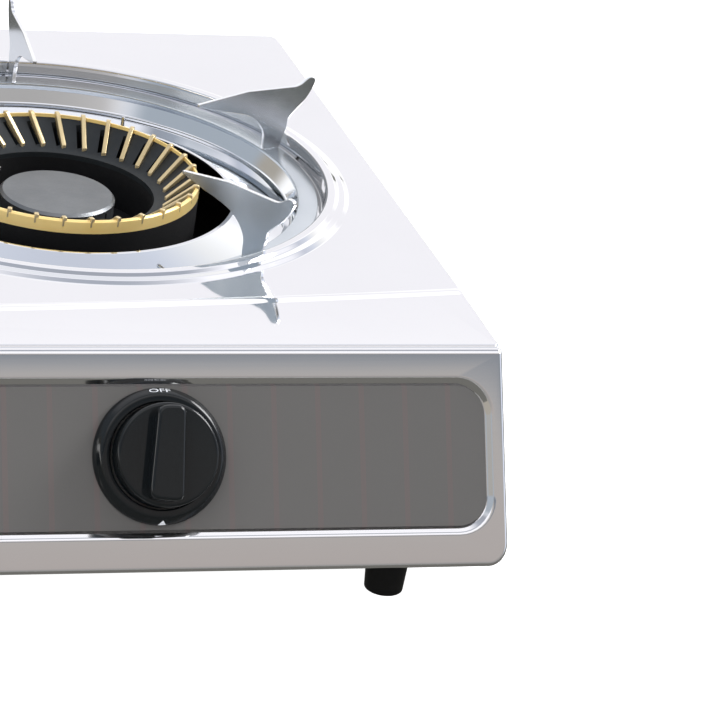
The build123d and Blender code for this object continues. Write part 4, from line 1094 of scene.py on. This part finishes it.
# Brass flame ring: a sooty funnel with bright slanting ribs and a port beside each
def make_flame_ring(burner):
    rim_in = burner.ring - RIM_WIDTH
    floor_r = burner.throat + RIB_INSET
    floor_z = -FUNNEL_DEPTH
    sleeve_z = floor_z - SLEEVE_DEPTH
    outline = [
        (burner.ring, -RING_WALL), (burner.ring, -RIM_WIDTH / 2),
        (burner.ring - RIM_WIDTH / 2, 0), (rim_in, 0), (rim_in, -RIB_HEIGHT),
        (floor_r, floor_z), (burner.throat, floor_z - RIM_WIDTH / 2), (burner.throat, sleeve_z),
        (burner.throat + SLEEVE_WALL, sleeve_z),
        (burner.throat + SLEEVE_WALL, floor_z - RING_SHEET),
        (floor_r + RIM_WIDTH, floor_z - RING_SHEET), (burner.ring - HEAD_WALL, -RING_WALL),
    ]
    ring = turned(f"flame_ring_{burner.name}_funnel", outline, burner.centre, ROUND_STEPS)
    run = (rim_in - floor_r) / math.cos(RIB_SWIRL)
    start = Matrix.Translation((rim_in, 0, 0)) @ Matrix.Rotation(math.pi + RIB_SWIRL, 4, "Z")

    def round_ring(name, points, width, first):
        """One bar along the funnel's slope, copied to every place round the ring."""
        flat = [Vector((x, first, z)) for x, z in points]
        bar = prism(name, flat, Vector((0, width, 0)))
        set_down(bar, start)
        bars = []
        for index in range(burner.ribs):
            turn = Matrix.Rotation(index * math.tau / burner.ribs, 4, "Z")
            bars.append(copied(bar, Matrix.Translation(burner.centre) @ turn))
        bpy.data.objects.remove(bar)
        return joined(name, bars)

    slots = round_ring(
        "port_cutters",
        [(PORT_INSET, MM), (run - PORT_INSET, MM), (run - PORT_INSET, 2 * floor_z),
         (PORT_INSET, 2 * floor_z)],
        PORT_WIDTH, -RIB_WIDTH / 2 - PORT_WIDTH,
    )
    modify(ring, "BOOLEAN", operation="DIFFERENCE", solver="EXACT", object=slots)
    bpy.data.objects.remove(slots)
    ribs = round_ring(
        f"flame_ring_{burner.name}_ribs",
        [(-RIM_WIDTH, RIB_PROUD), (RIB_CREST, RIB_PROUD), (RIB_STEP, RIB_STEP_Z),
         (run, floor_z + RIB_HEIGHT), (run, floor_z - RIM_WIDTH / 2),
         (-RIM_WIDTH, -RIB_HEIGHT - RIM_WIDTH)],
        RIB_WIDTH, -RIB_WIDTH / 2,
    )
    soften(ribs, RIB_EDGE, 1, 50.0)
    smooth(ribs)
    smooth(ring)
    body = f"flame_ring_{burner.name}_body"
    fit_out(ring, RING_BRASS_LIT, "ring_brass", body, f"flame_ring_{burner.name}")
    fit_out(ribs, RIB_BRASS_SHADED, "ring_brass", body)
    ring.data.materials.append(FUNNEL_SOOT)
    only(ring)
    edit_mode()

    def sooty(face):
        at = middle(face) - burner.centre
        reach = math.hypot(at.x, at.y)
        return reach < rim_in - TOUCHING and at.z > sleeve_z + TOUCHING

    pick("faces", sooty)
    ring.active_material_index = 1
    bpy.ops.object.material_slot_assign()
    object_mode()


# Knob in its bezel, with the printed word and mark
def make_knob(burner):
    drum = turned(f"knob_{burner.name}_drum", rounded([
        (0, 0), (KNOB_RADIUS, 0), (KNOB_RADIUS, KNOB_HEIGHT), (0, KNOB_HEIGHT),
    ], KNOB_EDGE), Vector(), KNOB_STEPS, False)
    reach = KNOB_RADIUS - KNOB_EDGE
    grip = block(
        f"knob_{burner.name}_grip",
        Vector((-GRIP_WIDTH / 2, -reach, KNOB_HEIGHT - MM)),
        Vector((GRIP_WIDTH / 2, reach, KNOB_HEIGHT + GRIP_HEIGHT)),
    )
    edit_mode()
    pick("verts", lambda v: v.co.y < 0 and v.co.x < 0)
    bpy.ops.transform.translate(value=(-GRIP_FLARE, GRIP_LEAN, 0))
    pick("verts", lambda v: v.co.y < 0 and v.co.x > 0)
    bpy.ops.transform.translate(value=(-GRIP_LEAN, 0, 0))
    pick("edges", lambda e: abs(e.verts[0].co.z - e.verts[1].co.z) > MM)
    bpy.ops.mesh.bevel(offset=GRIP_ROUND, segments=6, affect="EDGES", profile=0.6)
    pick("edges", lambda e: all(v.co.z > KNOB_HEIGHT + GRIP_HEIGHT - WELD for v in e.verts))
    bpy.ops.mesh.bevel(offset=GRIP_EDGE, segments=4, affect="EDGES")
    object_mode()
    knob = joined(f"knob_{burner.name}_moulding", [drum, grip])
    set_down(knob, panel_place(burner.knob_x, KNOB_DOWN, KNOB_BACK))
    smooth(knob)
    fit_out(knob, KNOB_GLOSS, "knob_black", f"knob_{burner.name}_body", f"knob_{burner.name}")

    throat = KNOB_RADIUS + KNOB_PLAY
    slope_line = rounded([
        (BEZEL_RADIUS, 0), (BEZEL_RADIUS, BEZEL_SKIRT), (BEZEL_TOP_RADIUS, BEZEL_HEIGHT),
        (throat + BEZEL_LIP, BEZEL_HEIGHT),
    ], BEZEL_ROUND)
    bezel = turned(f"bezel_{burner.name}_ring", [
        Vector((throat, 0)), *slope_line, Vector((throat, BEZEL_HEIGHT - BEZEL_LIP)),
    ], Vector(), KNOB_STEPS)
    set_down(bezel, panel_place(burner.knob_x, KNOB_DOWN, fascia_front))
    smooth(bezel)
    fit_out(bezel, KNOB_GLOSS, "bezel_black", "case", f"knob_bezel_{burner.name}")

    # The bezel's slope carries the print, so both marks lean back with it
    deselect_everything()
    bpy.ops.object.text_add()
    word = bpy.context.object
    word.data.body = "OFF"
    word.data.size = WORD_SIZE
    word.data.align_x = "CENTER"
    word.data.align_y = "CENTER"
    bpy.ops.object.convert(target="MESH")
    word = bpy.context.object
    word.name = f"bezel_{burner.name}_word"
    deselect_everything()
    bpy.ops.mesh.primitive_circle_add(vertices=3, radius=MARK_SIZE, fill_type="NGON")
    mark = bpy.context.object
    mark.name = f"bezel_{burner.name}_mark"
    edit_mode()
    bpy.ops.mesh.subdivide(number_cuts=MARK_CUTS)
    object_mode()
    slope = math.atan2(BEZEL_HEIGHT - BEZEL_SKIRT, BEZEL_RADIUS - BEZEL_TOP_RADIUS)
    middle_r = (BEZEL_RADIUS + BEZEL_TOP_RADIUS) / 2
    middle_z = fascia_front + (BEZEL_HEIGHT + BEZEL_SKIRT) / 2
    for piece, side in ((word, 1), (mark, -1)):
        lean_back = Matrix.Rotation(-side * slope, 4, "X")
        spot = Matrix.Translation((0, side * middle_r, 0)) @ lean_back
        if piece is mark:
            spot = spot @ Matrix.Translation((0, -MARK_SIZE / 2, 0))
        else:
            spot = spot @ Matrix.Diagonal((WORD_STRETCH, 1, 1, 1))
        set_down(piece, panel_place(burner.knob_x, KNOB_DOWN, middle_z) @ spot)
        modify(
            piece, "SHRINKWRAP", target=bezel, wrap_mode="ABOVE_SURFACE", offset=PRINT_THICKNESS
        )
        modify(piece, "SOLIDIFY", thickness=PRINT_THICKNESS, offset=-1.0)
        fit_out(piece, PRINT_WHITE, "bezel_black", "case")


# Dark strip of painted shade, sunk in the seam between the case and the top plate, where it stands
# in for the shadow in the gap
def make_seam_shade_strip():
    strip = block(
        "seam_sealing_strip",
        Vector((PLATE_CORNER - half_width, seam_y - SEAM_TUCK, rim_low_z)),
        Vector((half_width - PLATE_CORNER, plate_front_y + SEAM_TUCK, panel_top_z - SEAM_SINK)),
    )
    soften(strip, SEAM_TUCK, 2)
    smooth(strip)
    fit_out(strip, FOOT_RUBBER, "foot_rubber", "case")


# Rubber feet, each with a bore for its sunk screw
def make_feet():
    foot = turned("feet_rubber", rounded([
        (0, FOOT_BORE_DEPTH), (FOOT_BORE_RADIUS, FOOT_BORE_DEPTH), (FOOT_BORE_RADIUS, 0),
        (FOOT_LOW_RADIUS, 0), (FOOT_TOP_RADIUS, base_z), (0, base_z),
    ], FOOT_EDGE), Vector(), FOOT_STEPS, False)
    feet = []
    for x in (FOOT_FROM_SIDE - half_width, half_width - FOOT_FROM_SIDE):
        for y in (panel_low_y + FOOT_FROM_EDGE, rear_y - FOOT_FROM_EDGE):
            feet.append(copied(foot, Matrix.Translation((x, y, 0))))
    bpy.data.objects.remove(foot)
    feet = joined("feet_rubber", feet)
    smooth(feet)
    fit_out(feet, FOOT_RUBBER, "foot_rubber", "case", "feet")


make_case()
make_top_plate()
make_seam_shade_strip()
for burner in BURNERS:
    make_drip_pan(burner)
    make_trivet(burner)
    make_flame_ring(burner)
    make_knob(burner)
make_feet()

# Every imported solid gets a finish, also one that a piece above stands for
SOLID_FINISHES = {
    "fascia_plate": FASCIA_PAINT, "base_plate": BASE_PAINTED_SHADE, "foot_screws": PIPE_STEEL,
    "base_screws": SCREW_STEEL, "manifold": PIPE_STEEL, "supply_pipe": PIPE_STEEL,
    "inlet_nozzle": INLET_BRASS, "injectors": INLET_BRASS, "spark_pins": PIPE_STEEL,
    "ignition_leads": LEAD_SILICONE, "burner_head": HEAD_IRON_SHADED, "burner_bracket": PIPE_STEEL,
    "mixing_tube": TAP_ALLOY, "air_shutter": PIPE_STEEL, "spark_electrode": CERAMIC,
    "valve_stem": PIPE_STEEL, "tap_plug": INLET_BRASS, "tap_body": TAP_ALLOY,
    "centre_cap": CAP_STEEL, "body_shell": CASE_STEEL, "top_plate": PLATE_STEEL,
    "feet": FOOT_RUBBER, "drip_pan": PAN_CHROME, "trivet_ring": FIN_STEEL,
    "trivet_fins": FIN_STEEL, "flame_ring": RING_BRASS_LIT, "knob_bezel": KNOB_GLOSS,
    "knob": KNOB_GLOSS,
}
for name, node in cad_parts.items():
    kind = name
    for ending in ("_left", "_middle", "_right"):
        kind = kind.removesuffix(ending)
    node.data.materials.clear()
    node.data.materials.append(SOLID_FINISHES[kind])


# Studio: the camera sees a white floor and backdrop, and metal mirrors a greyer room
def make_studio():
    deselect_everything()
    bpy.ops.mesh.primitive_plane_add(size=FLOOR_SIZE, location=(0, FLOOR_BACK, -NEAR))
    floor_sheet = bpy.context.object
    floor_sheet.name = "studio_floor"
    apply_place()
    paint = Paint("floor_white")
    ray = paint.node("ShaderNodeLightPath", {}, {}, "Is Camera Ray")
    diffuse = paint.node("ShaderNodeBsdfDiffuse", {}, {"Color": grey(FLOOR_WHITE)})
    glow = paint.node("ShaderNodeEmission", {}, {"Color": grey(1.0), "Strength": ray * FLOOR_LIFT})
    both = paint.node("ShaderNodeAddShader", {}, {0: diffuse, 1: glow})
    mirrored = paint.node("ShaderNodeLightPath", {}, {}, "Is Glossy Ray")
    dim = paint.node("ShaderNodeEmission", {}, {"Color": MIRRORED_FLOOR})
    both = paint.node("ShaderNodeMixShader", {}, {0: mirrored, 1: both, 2: dim})
    paint.node("ShaderNodeOutputMaterial", {}, {"Surface": both}, None)
    floor_sheet.data.materials.append(paint.owner)

    world = bpy.context.scene.world or bpy.data.worlds.new("studio")
    bpy.context.scene.world = world
    sky = Paint(world, "Generated")
    across, along, up = (sky.axis(name) for name in "XYZ")
    turn = sky.maths("ARCTAN2", up, along) / math.pi
    shade = sky.node("ShaderNodeValToRGB", {"stops": SKY_STOPS}, {"Fac": turn})
    right = sky.between(across, *RIGHT_EDGE)
    left = sky.between(across * -1.0, *LEFT_EDGE)
    left_shade = sky.mix(sky.between(up, *LEFT_RISE), SKY_LEFT_LOW, SKY_LEFT_HIGH)
    strip = sky.between(up, *STRIP_LOW) * (1.0 - sky.between(up, *STRIP_HIGH))
    strip = strip * sky.between(across * -1.0, *STRIP_SIDE)
    left_shade = sky.mix(strip, left_shade, grey(STRIP_LIGHT))
    shade = sky.mix(right, shade, SKY_RIGHT)
    shade = sky.mix(left, shade, left_shade)
    window = sky.between(across, *WINDOW_LEFT) * (1.0 - sky.between(across, *WINDOW_RIGHT))
    window = window * sky.between(turn, *WINDOW_BACK) * (1.0 - sky.between(turn, *WINDOW_FRONT))
    shade = sky.mix(window, shade, grey(WINDOW_LIGHT))
    seen = sky.node("ShaderNodeLightPath", {}, {}, "Is Camera Ray")
    shade = sky.mix(seen, shade, grey(1.0))
    light = sky.node("ShaderNodeBackground", {}, {"Color": shade, "Strength": 1.0})
    sky.node("ShaderNodeOutputWorld", {}, {"Surface": light}, None)


# Square lamp that shines at the stove and shows in no mirror
def add_softbox(name, at, size, power):
    light = bpy.data.lights.new(name, "AREA")
    light.size = size
    light.energy = power
    lamp = bpy.data.objects.new(name, light)
    lamp.visible_glossy = False
    bpy.context.scene.collection.objects.link(lamp)
    lamp.location = at
    lamp.rotation_euler = (Vector() - Vector(at)).to_track_quat("-Z", "Y").to_euler()


def add_camera():
    yaw, pitch, roll = (math.radians(a) for a in CAMERA_TURNS)
    ahead = Vector((
        math.sin(yaw) * math.cos(pitch), math.cos(yaw) * math.cos(pitch), -math.sin(pitch)
    ))
    across = Vector((math.cos(yaw), -math.sin(yaw), 0))
    down = ahead.cross(across)
    right = math.cos(roll) * across + math.sin(roll) * down
    low = math.cos(roll) * down - math.sin(roll) * across
    lens = bpy.data.cameras.new("photo_camera")
    lens.lens = CAMERA_LENS
    lens.sensor_width = 36.0
    lens.clip_end = 50.0
    camera = bpy.data.objects.new("photo_camera", lens)
    bpy.context.scene.collection.objects.link(camera)
    turn = Matrix((right, -low, -ahead)).transposed().to_4x4()
    camera.matrix_world = Matrix.Translation(CAMERA_PLACE) @ turn
    bpy.context.scene.camera = camera


make_studio()
add_softbox("key_softbox", (-1.2, -1.0, 2.2), 1.6, 26.0)
add_softbox("fill_softbox", (-1.1, -2.4, 1.3), 1.0, 14.0)
add_camera()
bpy.context.scene.view_settings.view_transform = "Standard"
